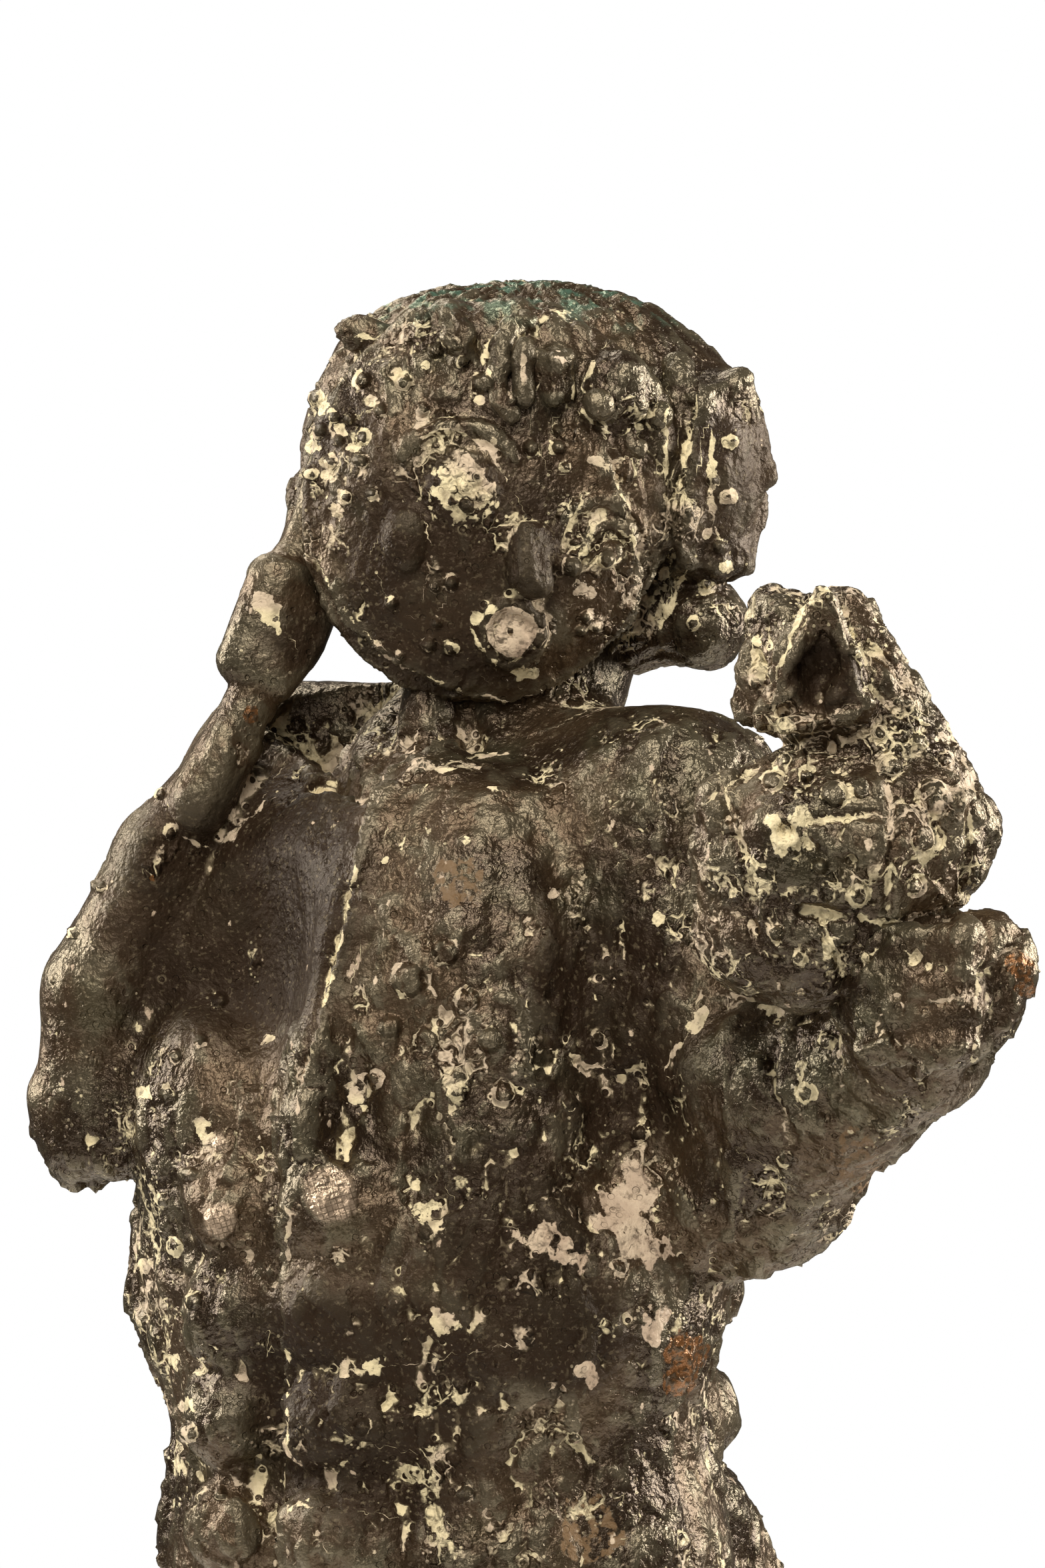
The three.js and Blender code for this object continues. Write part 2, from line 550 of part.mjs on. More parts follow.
function casting() {
  torso();
  shouldersAndNeck();
  raisedArm();
  heldOutArm();
  heldLump();
  head();
  face();
  hair();
  leg(1, 22);
  leg(-1, -10);
  tail();
  const { points, faces } = simplified(meshedWax(), FACETS);
  // Pockets that the lumps close in between them are left out: the outer skin alone is the figure.
  const skins = solidFrom(points.flat(), faces.flat()).decompose();
  const figure = skins.reduce((best, skin) => (skin.volume() > best.volume() ? skin : best));
  const mesh = base().add(figure.translate(0, 0, BASE_THICKNESS)).getMesh();
  const geometry = new THREE.BufferGeometry();
  geometry.setAttribute("position", new THREE.BufferAttribute(mesh.vertProperties, 3));
  geometry.setIndex(new THREE.BufferAttribute(mesh.triVerts, 1));
  return geometry;
}

const group = new THREE.Group();
group.name = "bronze_faun";
const body = new THREE.Mesh(casting(), new THREE.MeshStandardMaterial({ name: "bronze", ...BRONZE }));
body.name = "faun_casting";
group.add(body);
export default group;
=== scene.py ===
import math

import bpy
import numpy as np
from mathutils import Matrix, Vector


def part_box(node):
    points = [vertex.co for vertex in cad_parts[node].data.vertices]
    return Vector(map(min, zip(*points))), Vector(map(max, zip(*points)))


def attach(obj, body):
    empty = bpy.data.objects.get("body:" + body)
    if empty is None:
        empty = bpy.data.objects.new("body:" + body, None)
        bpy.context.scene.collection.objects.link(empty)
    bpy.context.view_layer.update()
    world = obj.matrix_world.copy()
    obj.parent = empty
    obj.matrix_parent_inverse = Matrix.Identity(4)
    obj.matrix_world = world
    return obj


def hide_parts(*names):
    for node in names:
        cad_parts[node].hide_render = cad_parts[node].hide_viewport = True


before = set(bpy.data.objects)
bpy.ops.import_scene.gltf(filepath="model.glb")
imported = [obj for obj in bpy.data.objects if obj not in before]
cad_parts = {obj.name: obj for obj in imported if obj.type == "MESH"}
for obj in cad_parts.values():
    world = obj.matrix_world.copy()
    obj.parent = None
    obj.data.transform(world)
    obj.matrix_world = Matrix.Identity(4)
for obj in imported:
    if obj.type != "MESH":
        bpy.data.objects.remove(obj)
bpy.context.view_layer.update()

# Body: the faun from its throat to its hips, with both arms. It is hollow bronze, cast from wax that was
# built of pressed lumps and smears, and the tool's strokes still show. Its sizes are thousandths of the
# figure's height above the base, as the casting's are, and what rises from its skin is in millimetres.
BASE_THICKNESS = 0.024
SHARE = (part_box("faun_casting")[1].z - BASE_THICKNESS) / 1000
MM = 0.001 / SHARE
TORSO_TURN = -42
TURN = (0, 0, TORSO_TURN)
FORWARD = np.array([math.sin(math.radians(TORSO_TURN)), -math.cos(math.radians(TORSO_TURN)), 0])
LEFT = np.array([math.cos(math.radians(TORSO_TURN)), math.sin(math.radians(TORSO_TURN)), 0])


def tilted(tilt):
    """A lump's own axes, from degrees about X, then Y, then Z."""
    (ca, sa), (cb, sb), (cc, sc) = [(math.cos(math.radians(t)), math.sin(math.radians(t))) for t in tilt]
    about_x = np.array([[1, 0, 0], [0, ca, -sa], [0, sa, ca]])
    about_y = np.array([[cb, 0, sb], [0, 1, 0], [-sb, 0, cb]])
    about_z = np.array([[cc, -sc, 0], [sc, cc, 0], [0, 0, 1]])
    return about_z @ about_y @ about_x


# A shape of wax is its centre, how far it reaches from there, and the distance of any points to its skin.
def egg(centre, radii, tilt=(0, 0, 0)):
    centre, radii, axes = np.array(centre, float), np.array(radii, float), tilted(tilt)

    def distance(points):
        near = (points - centre) @ axes / radii
        away = np.sqrt((near * near).sum(-1))
        slope = np.sqrt(((near / radii) ** 2).sum(-1))
        return np.where(slope < 1e-6, -radii.min(), away * (away - 1) / np.maximum(slope, 1e-6))

    return centre, radii.max(), distance


def limb(start, end, start_radius, end_radius):
    start, end = np.array(start, float), np.array(end, float)
    span = end - start

    def distance(points):
        off = points - start
        t = np.clip(off @ span / max(span @ span, 1e-9), 0, 1)
        gap = off - t[..., None] * span
        return np.sqrt((gap * gap).sum(-1)) - (start_radius + (end_radius - start_radius) * t)

    return (start + end) / 2, np.linalg.norm(span) / 2 + max(start_radius, end_radius), distance


def slab(centre, half, rounding, tilt=(0, 0, 0)):
    centre, half, axes = np.array(centre, float), np.array(half, float), tilted(tilt)

    def distance(points):
        q = np.abs((points - centre) @ axes) - half + rounding
        out = np.sqrt((np.maximum(q, 0) ** 2).sum(-1))
        return out + np.minimum(q.max(-1), 0) - rounding

    return centre, float(np.linalg.norm(half)), distance


def press(wax, blend, *shapes):
    wax += [(shape, blend, False) for shape in shapes]


def carve(wax, blend, *shapes):
    wax += [(shape, blend, True) for shape in shapes]


def chain(wax, blend, points):
    for (*start, start_radius), (*end, end_radius) in zip(points, points[1:]):
        press(wax, blend, limb(start, end, start_radius, end_radius))


def wax_distance(wax, points, middles, clearance):
    """How far points, in blocks round their middles, are from the skin of all the wax."""
    values = np.full(points.shape[:-1], 1e3)
    for (centre, reach, distance), blend, cut in wax:
        near = np.linalg.norm(middles - centre, axis=1) < reach + blend + clearance
        if not near.any():
            continue
        value, other = values[near], distance(points[near])
        other = -other if cut else other
        soft = np.maximum(blend - np.abs(value - other), 0) / blend
        bulge = soft * soft * blend / 4
        values[near] = np.maximum(value, other) + bulge if cut else np.minimum(value, other) - bulge
    return values


def wax_skin(wax, cell):
    """Points and quads of the wax's skin, on a grid of cells, skipping blocks that the skin doesn't pass."""
    block = 8
    low = np.min([centre - reach for (centre, reach, _), _, cut in wax if not cut], axis=0) - 3 * cell
    high = np.max([centre + reach for (centre, reach, _), _, cut in wax if not cut], axis=0) + 3 * cell
    count = np.ceil((high - low) / (cell * block)).astype(int)
    spots = np.stack(np.meshgrid(*[np.arange(n) for n in count], indexing="ij"), -1).reshape(-1, 3)
    middles = low + (spots + 0.5) * block * cell - cell / 2
    half = block * cell * math.sqrt(3) / 2
    rough = wax_distance(wax, middles[:, None, :], middles, 1e3)[:, 0]
    active = np.abs(rough) < 1.6 * half
    inner = np.stack(np.meshgrid(*[np.arange(block)] * 3, indexing="ij"), -1).reshape(-1, 3)
    points = low + (spots[active][:, None, :] * block + inner[None]) * cell
    values = np.repeat(rough[:, None], block**3, axis=1).astype(np.float32)
    values[active] = wax_distance(wax, points, middles[active], 4 * half)
    values = values.reshape(*count, block, block, block).transpose(0, 3, 1, 4, 2, 5).reshape(count * block)
    solid = values < 0
    corners = np.stack(np.meshgrid([0, 1], [0, 1], [0, 1], indexing="ij"), -1).reshape(-1, 3)
    size = np.array(solid.shape) - 1
    window = lambda grid, c: grid[c[0] : c[0] + size[0], c[1] : c[1] + size[1], c[2] : c[2] + size[2]]
    filled = sum(window(solid, c).astype(np.uint8) for c in corners)
    cells = np.argwhere((filled > 0) & (filled < 8))
    number = np.full(size, -1, np.int32)
    number[tuple(cells.T)] = np.arange(len(cells))
    total, crossings = np.zeros((len(cells), 3)), np.zeros(len(cells))
    for a in corners:
        for axis in range(3):
            if a[axis]:
                continue
            step = np.eye(3, dtype=int)[axis]
            first, last = values[tuple((cells + a).T)], values[tuple((cells + a + step).T)]
            crossed = (first < 0) != (last < 0)
            t = first[crossed] / (first[crossed] - last[crossed])
            total[crossed] += a + t[:, None] * step
            crossings[crossed] += 1
    skin = low + (cells + total / crossings[:, None]) * cell
    quads = []
    for axis in range(3):
        u, v = (axis + 1) % 3, (axis + 2) % 3
        step = np.eye(3, dtype=int)
        grid = np.array(solid.shape)
        first = solid[tuple(slice(0, n - (k == axis)) for k, n in enumerate(grid))]
        last = solid[tuple(slice(int(k == axis), n) for k, n in enumerate(grid))]
        edges = np.argwhere(first != last)
        leaving = first[tuple(edges.T)]
        round_edge = [edges - step[u] - step[v], edges - step[v], edges, edges - step[u]]
        quad = np.stack([number[tuple(c.T)] for c in round_edge], 1)
        quad[~leaving] = quad[~leaving][:, ::-1]
        quads.append(quad)
    return outer_skin(skin, np.concatenate(quads))


def outer_skin(skin, quads):
    """The largest connected skin: pockets that lumps close in between them are left out."""
    label = np.arange(len(skin))
    while True:
        lowest = label[quads].min(1)
        new = label.copy()
        np.minimum.at(new, quads.ravel(), np.repeat(lowest, 4))
        new = new[new]
        if (new == label).all():
            break
        label = new
    names, sizes = np.unique(label, return_counts=True)
    kept = label == names[sizes.argmax()]
    order = np.cumsum(kept) - 1
    return skin[kept], order[quads[kept[quads[:, 0]]]]


def normals_of(points, quads):
    across = np.cross(points[quads[:, 2]] - points[quads[:, 0]], points[quads[:, 3]] - points[quads[:, 1]])
    columns = [np.bincount(quads.ravel(), np.repeat(across[:, k], 4), len(points)) for k in range(3)]
    total = np.stack(columns, 1)
    return total / np.maximum(np.linalg.norm(total, axis=1, keepdims=True), 1e-12)


def softened(points, quads, rounds):
    """The points after each has moved to the middle of its neighbours, over and over."""
    ends = np.concatenate([quads[:, [0, 1]], quads[:, [1, 2]], quads[:, [2, 3]], quads[:, [3, 0]]])
    ends = np.concatenate([ends, ends[:, ::-1]])
    starts, others = ends[:, 0], ends[:, 1]
    share = np.bincount(starts, minlength=len(points))
    for _ in range(rounds):
        columns = [np.bincount(starts, points[others, k], len(points)) for k in range(points.shape[1])]
        points = np.stack(columns, 1) / share[:, None]
    return points


def scattered(cell, seed):
    """A number from 0 to 1 for each whole place, the same in every run."""
    mixed = cell[..., 0] * 73856093 ^ cell[..., 1] * 19349663 ^ cell[..., 2] * 83492791 ^ (seed * 2654435761)
    mixed = (mixed ^ (mixed >> 13)) * 1274126177 & 0x7FFFFFFF
    return ((mixed ^ (mixed >> 16)) & 0xFFFF) / 65535


def grain(points, size, seed):
    """Smooth unevenness from -1 to 1, in swellings about this size across."""
    place = points / size
    cell = np.floor(place).astype(np.int64)
    t = place - cell
    t = t * t * (3 - 2 * t)
    total = 0
    for corner in np.ndindex(2, 2, 2):
        weight = np.prod(np.where(corner, t, 1 - t), axis=-1)
        total = total + weight * scattered(cell + np.array(corner), seed)
    return 2 * total - 1


def pellets(points, spacing, radius, seed, chance=1.0):
    """Height from 0 to 1 of round pellets scattered about this far apart, and 0 between them."""
    cell = np.floor(points / spacing).astype(np.int64)
    height = np.zeros(len(points))
    for near in np.ndindex(3, 3, 3):
        spot = cell + np.array(near) - 1
        middle = (spot + np.stack([scattered(spot, seed + k) for k in (1, 2, 3)], -1)) * spacing
        size = radius * (0.55 + 0.9 * scattered(spot, seed + 4))
        here = np.where(scattered(spot, seed + 5) < chance, 1 - ((points - middle) ** 2).sum(-1) / size**2, 0)
        height = np.maximum(height, here)
    return np.sqrt(height)


def smears(points, size, seed):
    """Height, about -1 to 1, of flat dabs of wax this size, each tilted its own way, with cliffs between."""
    place = points / size
    cell = np.floor(place).astype(np.int64)
    nearest, height = np.full(len(points), 9.0), np.zeros(len(points))
    for near in np.ndindex(3, 3, 3):
        spot = cell + np.array(near) - 1
        off = place - spot - np.stack([scattered(spot, seed + k) for k in (1, 2, 3)], -1)
        gap = (off * off).sum(-1)
        closer = gap < nearest
        nearest[closer] = gap[closer]
        tilt = np.stack([scattered(spot[closer], seed + k) - 0.5 for k in (4, 5, 6)], -1)
        height[closer] = 1.6 * (off[closer] * tilt).sum(-1) + scattered(spot[closer], seed + 7) - 0.5
    return height


# The viewer is this far off, in thousandths. The photograph's middle pixel shows this place, and one of
# its pixels is this wide there: (pixel across, X, pixel down, Z). Its marks lie on skin whose normal's Y
# is below the last value.
VIEW_DISTANCE, MIDDLE, PIXEL = 1877, (784, 23.7, 1176, 825.9), 0.2279
TURNED_AWAY = 0.1


def photo_place(points):
    """Where points are seen in the photograph, in its own pixels."""
    scale = PIXEL * (1 + points[:, 1] / VIEW_DISTANCE)
    across = MIDDLE[0] + (points[:, 0] - MIDDLE[1]) / scale
    down = MIDDLE[2] - (points[:, 2] - MIDDLE[3]) / scale
    return np.stack([across, down], 1)


def marked(seen, facing, marks):
    """How far each point is inside round marks (x, y, radius) on the side shown: 0 at a mark's edge."""
    strength = np.full(len(seen), -1.0)
    for x, y, radius in marks:
        near = 1 - ((seen[:, 0] - x) ** 2 + (seen[:, 1] - y) ** 2) / radius**2
        strength = np.maximum(strength, near)
    return np.where(facing < TURNED_AWAY, strength, -1)


def streaked(seen, facing, streaks):
    """The same along streaks from (x, y) to (x, y), each with its half width."""
    strength = np.zeros(len(seen))
    for start, end, width in streaks:
        start, span = np.array(start, float), np.array(end, float) - start
        t = np.clip((seen - start) @ span / (span @ span), 0, 1)
        strength = np.maximum(strength, 1 - np.linalg.norm(seen - start - t[:, None] * span, axis=1) / width)
    return np.where(facing < TURNED_AWAY, strength, 0)


def beside(seen, lines):
    """How far each point is from the nearest of the lines of places, above 0 at a line's right hand."""
    nearest, side = np.full(len(seen), np.inf), np.ones(len(seen))
    for line in lines:
        for start, end in zip(line, line[1:]):
            start, span = np.array(start, float), np.array(end, float) - start
            off = seen - start - np.clip((seen - start) @ span / (span @ span), 0, 1)[:, None] * span
            gap = np.linalg.norm(off, axis=1)
            closer = gap < nearest
            nearest[closer] = gap[closer]
            side[closer] = np.sign(off[closer, 0] * span[1] - off[closer, 1] * span[0])
    return nearest * side


def lapped(seen, facing, line, reach):
    """A flap's edge along a line: from 1 on the flap, at the line's right hand, to -1 beyond its edge."""
    gap = beside(seen, [line])
    return np.where(facing < TURNED_AWAY, np.sign(gap) * np.clip(1 - np.abs(gap) / reach, 0, 1), 0)


def pressed(seen, facing, rounds):
    """Height of pellets (x, y, radius) pressed on by hand, each in the shallow moat that this left."""
    inside = marked(seen, facing, rounds)
    return np.sqrt(np.clip(inside, 0, 1)) - 0.4 * np.clip(1 - np.abs(inside + 0.25) / 0.25, 0, 1)


def crust_marks(seen, facing, rounds, lines, flecks):
    """How far points are from pellets' edges and from lines that hold crust, in millimetres, and flecks."""
    off = np.full(len(seen), 99.0)
    for x, y, radius in rounds:
        off = np.minimum(off, np.hypot(seen[:, 0] - x, seen[:, 1] - y) - radius)
    away = np.where(facing < TURNED_AWAY, 0, 99)
    return {
        "pellet": (off + away) * PIXEL / MM,
        "seam": np.clip(beside(seen, lines) + away, -99, 99) * PIXEL / MM,
        "fleck": marked(seen, facing, flecks),
    }


def skin_relief(p, flow=0.5):
    """How far the worked wax rises and falls, in millimetres: swellings, dabs, strokes, pellets and pits."""
    bent = p + 3.0 * np.stack([grain(p, 11, 61), grain(p, 11, 62), grain(p, 11, 63)], 1)
    drawn = bent * np.array([1, 1, flow])
    rise = 1.3 * grain(p, 36, 1) + 1.5 * smears(drawn, 13, 110) + 0.9 * smears(drawn, 6.5, 120)
    rise += 0.4 * grain(drawn, 5, 4) + 0.3 * grain(p, 2.8, 5)
    rise += 1.9 * pellets(drawn, 14, 6, 10, 0.4) * (grain(p, 55, 6) > -0.2)
    rise += 1.0 * pellets(bent, 7, 2.8, 16, 0.35)
    rise -= 1.2 * pellets(p, 11, 2.4, 20, 0.5) + 0.7 * pellets(p, 5.5, 1.5, 30, 0.35)
    return rise


def wax_mesh(name, wax, cell, relief, colours, triangles):
    """The wax's skin with its relief, as one object that carries how hollow it is and what lies on it."""
    skin, quads = wax_skin(wax, cell)
    normals = normals_of(skin, quads)
    worked = skin + (relief(skin, normals) * MM)[:, None] * normals
    normals = normals_of(worked, quads)
    near, wide = softened(worked, quads, 3), softened(worked, quads, 24)
    hollow = np.stack([((near - worked) * normals).sum(1), ((wide - worked) * normals).sum(1)], 1)
    hollow /= hollow.std(axis=0)
    mesh = bpy.data.meshes.new(name)
    places = worked * SHARE + np.array([0, 0, BASE_THICKNESS])
    mesh.vertices.add(len(places))
    mesh.vertices.foreach_set("co", places.ravel())
    mesh.loops.add(quads.size)
    mesh.loops.foreach_set("vertex_index", quads.ravel())
    mesh.polygons.add(len(quads))
    mesh.polygons.foreach_set("loop_start", np.arange(len(quads)) * 4)
    mesh.polygons.foreach_set("use_smooth", np.ones(len(quads), bool))
    mesh.update(calc_edges=True)
    marks = {"fine_hollow": hollow[:, 0], "wide_hollow": hollow[:, 1], **colours(worked, normals)}
    for key, value in marks.items():
        mesh.attributes.new(key, "FLOAT", "POINT").data.foreach_set("value", value.astype(np.float32))
    piece = bpy.data.objects.new(name, mesh)
    bpy.context.collection.objects.link(piece)
    if 2 * len(quads) > triangles:
        thin = piece.modifiers.new("fewer", "DECIMATE")
        thin.ratio = triangles / (2 * len(quads))
        with bpy.context.temp_override(object=piece, active_object=piece):
            bpy.ops.object.modifier_apply(modifier=thin.name)
    return piece


def body_wax():
    wax = []
    press(wax, 1, egg((-10, 4, 745), (102, 76, 100), TURN))
    press(wax, 22, egg((-10, 2, 662), (117, 82, 100), TURN))
    press(wax, 24, egg((-3, 4, 560), (110, 80, 92), TURN))
    press(wax, 22, egg((2, 10, 505), (106, 80, 62), TURN))
    # The near breast swells from the collar to the ribs, and the breastbone is its edge.
    press(wax, 18, egg((4, -44, 752), (52, 36, 76), (0, 10, -18)))
    breastbone = [(-13, -28, 826, 9), (-26, -46, 803, 10), (-36, -60, 774, 10), (-43, -68, 738, 10)]
    chain(wax, 8, [*breastbone, (-50, -69, 702, 8)])
    # Past that edge the chest falls away into a hollow, with the far breast below it.
    carve(wax, 16, egg((-82, -48, 772), (32, 30, 52), (0, 6, -40)))
    press(wax, 16, egg((-86, -22, 712), (25, 16, 36), (0, -4, -50)))
    # A trough runs down from the near armpit.
    carve(wax, 12, limb((49, -86, 806), (54, -92, 700), 16, 15))
    # The rows of the belly, either side of its furrow.
    carve(wax, 8, limb((-56, -78, 690), (-58, -72, 560), 7, 6))
    for row in range(4):
        z = 687 - 36 * row
        press(wax, 9, egg((-36, -73 + row, z), (19, 13, 16), (0, 0, -22)))
        press(wax, 9, egg((-75, -45 + row, z - 2), (16, 13, 16), (0, 0, -52)))
    # The flank's hard edge and the knobs down the back of it.
    chain(wax, 6, [(84, -6, 656, 7), (82, -8, 610, 8), (84, -6, 560, 7)])
    for z, out in ((650, 22), (610, 19), (574, 21)):
        press(wax, 9, egg((79, 24, z), (out, 20, 18)))
    # Shoulder blades, the furrow of the spine and the haunches, plainer than the front.
    press(wax, 16, egg((62, 24, 770), (30, 16, 44), TURN), egg((0, 76, 770), (30, 16, 44), TURN))
    press(wax, 22, egg((26, 56, 590), (50, 32, 46), TURN))
    carve(wax, 14, limb((42, 66, 800), (48, 78, 590), 6, 7))
    press(wax, 20, egg((71, 48, 525), (49, 44, 60)))
    press(wax, 18, egg((20, 82, 522), (46, 40, 58)))
    # Shoulders and neck, with the cord of the neck and the hollow beside it.
    press(wax, 18, limb((26, 8, 832), (72, -38, 814), 24, 36))
    press(wax, 18, limb((4, 14, 836), (-58, 44, 827), 25, 35))
    press(wax, 12, limb((12, 12, 815), (34, 24, 885), 35, 33))
    press(wax, 2, limb((-11, -18, 836), (-6, -10, 868), 9, 9))
    carve(wax, 3, egg((6, -24, 846), (6, 8, 12)))
    # The arm folded back to the head: upper arm and elbow, then the forearm up its outer side. A ridge
    # parts the forearm's lit face from the dark one, which runs on into the chest's hollow.
    chain(wax, 12, [(-60, 42, 822, 32), (-92, 22, 762, 29), (-116, 12, 716, 23)])
    press(wax, 8, slab((-112, 12, 718), (32, 12, 18), 6, (0, -24, 8)))
    press(wax, 16, egg((-80, 30, 784), (32, 40, 58), (0, 22, 0)))
    chain(wax, 6, [(-127, 10, 708, 18), (-121, 4, 755, 19), (-99, -2, 802, 16), (-76, -6, 838, 10)])
    carve(wax, 2, slab((-92, -38, 785), (14, 22, 40), 1, (0, 22, 24)))
    # The wrist's strip ends bluntly on the forearm, and a flat slice runs across it.
    press(wax, 2, limb((-69, -10, 852), (-86, -12, 820), 9.5, 11))
    carve(wax, 1, slab((-74, -35, 832), (18, 14, 36), 1, (0, 24, 12)))
    # Palm, and the fingers that reach the hair behind it. Another slice makes the hand's sharp edge.
    press(wax, 4, slab((-59, -8, 879), (16.5, 13, 23), 8, (0, 20, 0)))
    carve(wax, 2, slab((-37, -8, 857), (14, 30, 26), 1, (0, 37, 0)))
    chain(wax, 3, [(-56, -2, 896, 10), (-50, 0, 912, 6), (-45, 0, 936, 4.5)])
    chain(wax, 5, [(-55, 4, 896, 9), (-50, 14, 920, 6), (-42, 20, 940, 5)])
    carve(wax, 1, slab((-46, -34, 872), (30, 17, 44), 1, (0, 20, 30)))
    for x in (-62, -56):
        carve(wax, 1, limb((x, -20, 903), (x - 6, -24, 889), 1.3, 1))
    # The arm held out to the viewer, and its fist with the fingers curled round the front.
    chain(wax, 14, [(72, -40, 812, 36), (88, -52, 748, 32), (100, -60, 698, 31)])
    chain(wax, 12, [(100, -60, 698, 31), (124, -92, 728, 27), (150, -128, 742, 22)])
    press(wax, 12, egg((107, -84, 730), (31, 28, 28)))
    press(wax, 7, egg((150, -142, 760), (28, 27, 27)), egg((169, -148, 764), (16, 18, 24), (0, 12, 0)))
    for i in range(4):
        z = 776 - 11 * i
        press(wax, 3, limb((134, -158, z), (160, -167, z + 1), 6.5, 7.5))
    carve(wax, 2, limb((169, -178, 786), (171, -176, 742), 3, 3))
    return wax


# Lumps and pellets pressed on, as (x, y, radius) in the photograph's pixels.
BEIGE_LUMPS = [(496, 1791, 42), (331, 1832, 27), (328, 1715, 12)]
CHEST_LUMPS = [
    (600, 1460, 60), (690, 1400, 45), (640, 1620, 55), (730, 1560, 40), (560, 1560, 40),
    (760, 1680, 45),
]
PELLETS = [
    (612, 1470, 26), (668, 1430, 20), (700, 1500, 18), (640, 1560, 20), (586, 1540, 18),
    (735, 1560, 20), (755, 1641, 17), (690, 1640, 14), (560, 1620, 14), (263, 1584, 10), (300, 1560, 9),
    (330, 1500, 12), (250, 1640, 11), (285, 1760, 11), (245, 1800, 11), (262, 1870, 12),
    (290, 1950, 13), (300, 2050, 11), (285, 2150, 12), (330, 2240, 10), (855, 1655, 11),
    (900, 1560, 11), (960, 1700, 13), (1020, 1640, 12), (930, 1900, 11), (1000, 2140, 13),
    (860, 2160, 11), (790, 2010, 11), (700, 2240, 12), (620, 2210, 11), (545, 2140, 13),
    (640, 1850, 11), (1150, 1600, 12), (1210, 1640, 14), (1180, 1740, 12), (1240, 1560, 12),
    (1380, 1610, 13), (1330, 1560, 12), (240, 1190, 8), (255, 1250, 9), (150, 1330, 8), (110, 1400, 8),
]
# Where the metal is worn bare or rusty, and the patches of painted shade: a deep brown laid where shade falls
# on the hollow chest, the armpit, the belly and the inner side of the raised arm.
WORN_METAL = [
    (1030, 2030, 34), (1022, 2070, 30), (375, 1070, 17), (1532, 1450, 24), (1536, 1478, 20),
    (230, 1320, 10),
]
RUST = [(690, 1320, 40), (885, 2290, 52), (1287, 1741, 46)]
SHADE_PATCHES = [
    (360, 1370, 230), (440, 1240, 120), (455, 1390, 110), (905, 1480, 130), (930, 1640, 130),
    (400, 1290, 150), (560, 2100, 230), (760, 1850, 170), (450, 960, 60), (840, 2000, 110),
]
# The near breast laps over the hollow chest along this edge, which runs on as the belly's furrow.
BREAST_EDGE = [
    (640, 1130), (583, 1157), (548, 1242), (519, 1370), (491, 1484), (455, 1612), (441, 1697),
    (432, 1850), (430, 2352),
]
# Lines that hold crust: that edge, the neck, the blunt end of the wrist's strip, the belly's grooves, the
# crack across the armpit, the flank's edge and the fist's crease.
CRACK = [(780, 1580), (830, 1574), (890, 1600), (940, 1604), (990, 1640)]
CRUST_LINES = [
    BREAST_EDGE,
    CRACK,
    [(598, 1107), (612, 1142), (670, 1157), (740, 1128)],
    [(256, 1211), (269, 1256), (319, 1270), (383, 1220), (410, 1175)],
    [(320, 2020), (350, 2036), (391, 2033)],
    [(482, 2053), (540, 2058), (600, 2048)],
    [(316, 2199), (374, 2232)],
    [(449, 2257), (511, 2265)],
    [(1056, 2042), (1060, 2180), (1084, 2352)],
    [(1459, 1380), (1466, 1480), (1459, 1590)],
    [(1012, 1580), (1065, 1510)],
    [(640, 1180), (606, 1260), (580, 1380), (560, 1480)],
]
# Where crust was left thickest: trails (start, end, half width), and single flecks.
CREAM_TRAILS = [
    ((640, 1130), (548, 1242), 12),
    ((548, 1242), (519, 1370), 14),
    ((519, 1370), (491, 1484), 18),
    ((300, 1480), (250, 1620), 30),
    ((215, 1760), (240, 2010), 34),
    ((240, 2010), (290, 2250), 38),
    ((670, 1540), (680, 1720), 26),
    ((640, 2030), (650, 2330), 22),
    ((1108, 1480), (1202, 1545), 40),
    ((460, 1090), (600, 1050), 60),
    ((596, 1105), (655, 1158), 22),
    ((655, 1158), (760, 1130), 18),
    ((1100, 1750), (1300, 1860), 50),
]
FLECKS = [
    (303, 1690, 15), (305, 1708, 12), (541, 1627, 17), (532, 1645, 12), (669, 1591, 15),
    (672, 1625, 10), (641, 1819, 22), (655, 1840, 16), (662, 1983, 24), (515, 2052, 15),
    (560, 2052, 15), (1040, 1540, 15), (1055, 1522, 11), (215, 1900, 13), (222, 1930, 11),
    (262, 2040, 12), (280, 2110, 14), (270, 2200, 13), (1165, 1500, 26), (1130, 1480, 20),
    (640, 1240, 8), (740, 1180, 9), (700, 1260, 7), (830, 1340, 8), (395, 905, 22), (410, 940, 15),
    (580, 1290, 8), (400, 1560, 12), (215, 1640, 13), (990, 1380, 9),
]
BEIGE_PATCHES = [
    (945, 1785, 34), (925, 1815, 36), (950, 1850, 34), (985, 1880, 26), (815, 1850, 26),
    (840, 1880, 24), (870, 1890, 22), (985, 1978, 22), (980, 2000, 20), (880, 2060, 20),
]


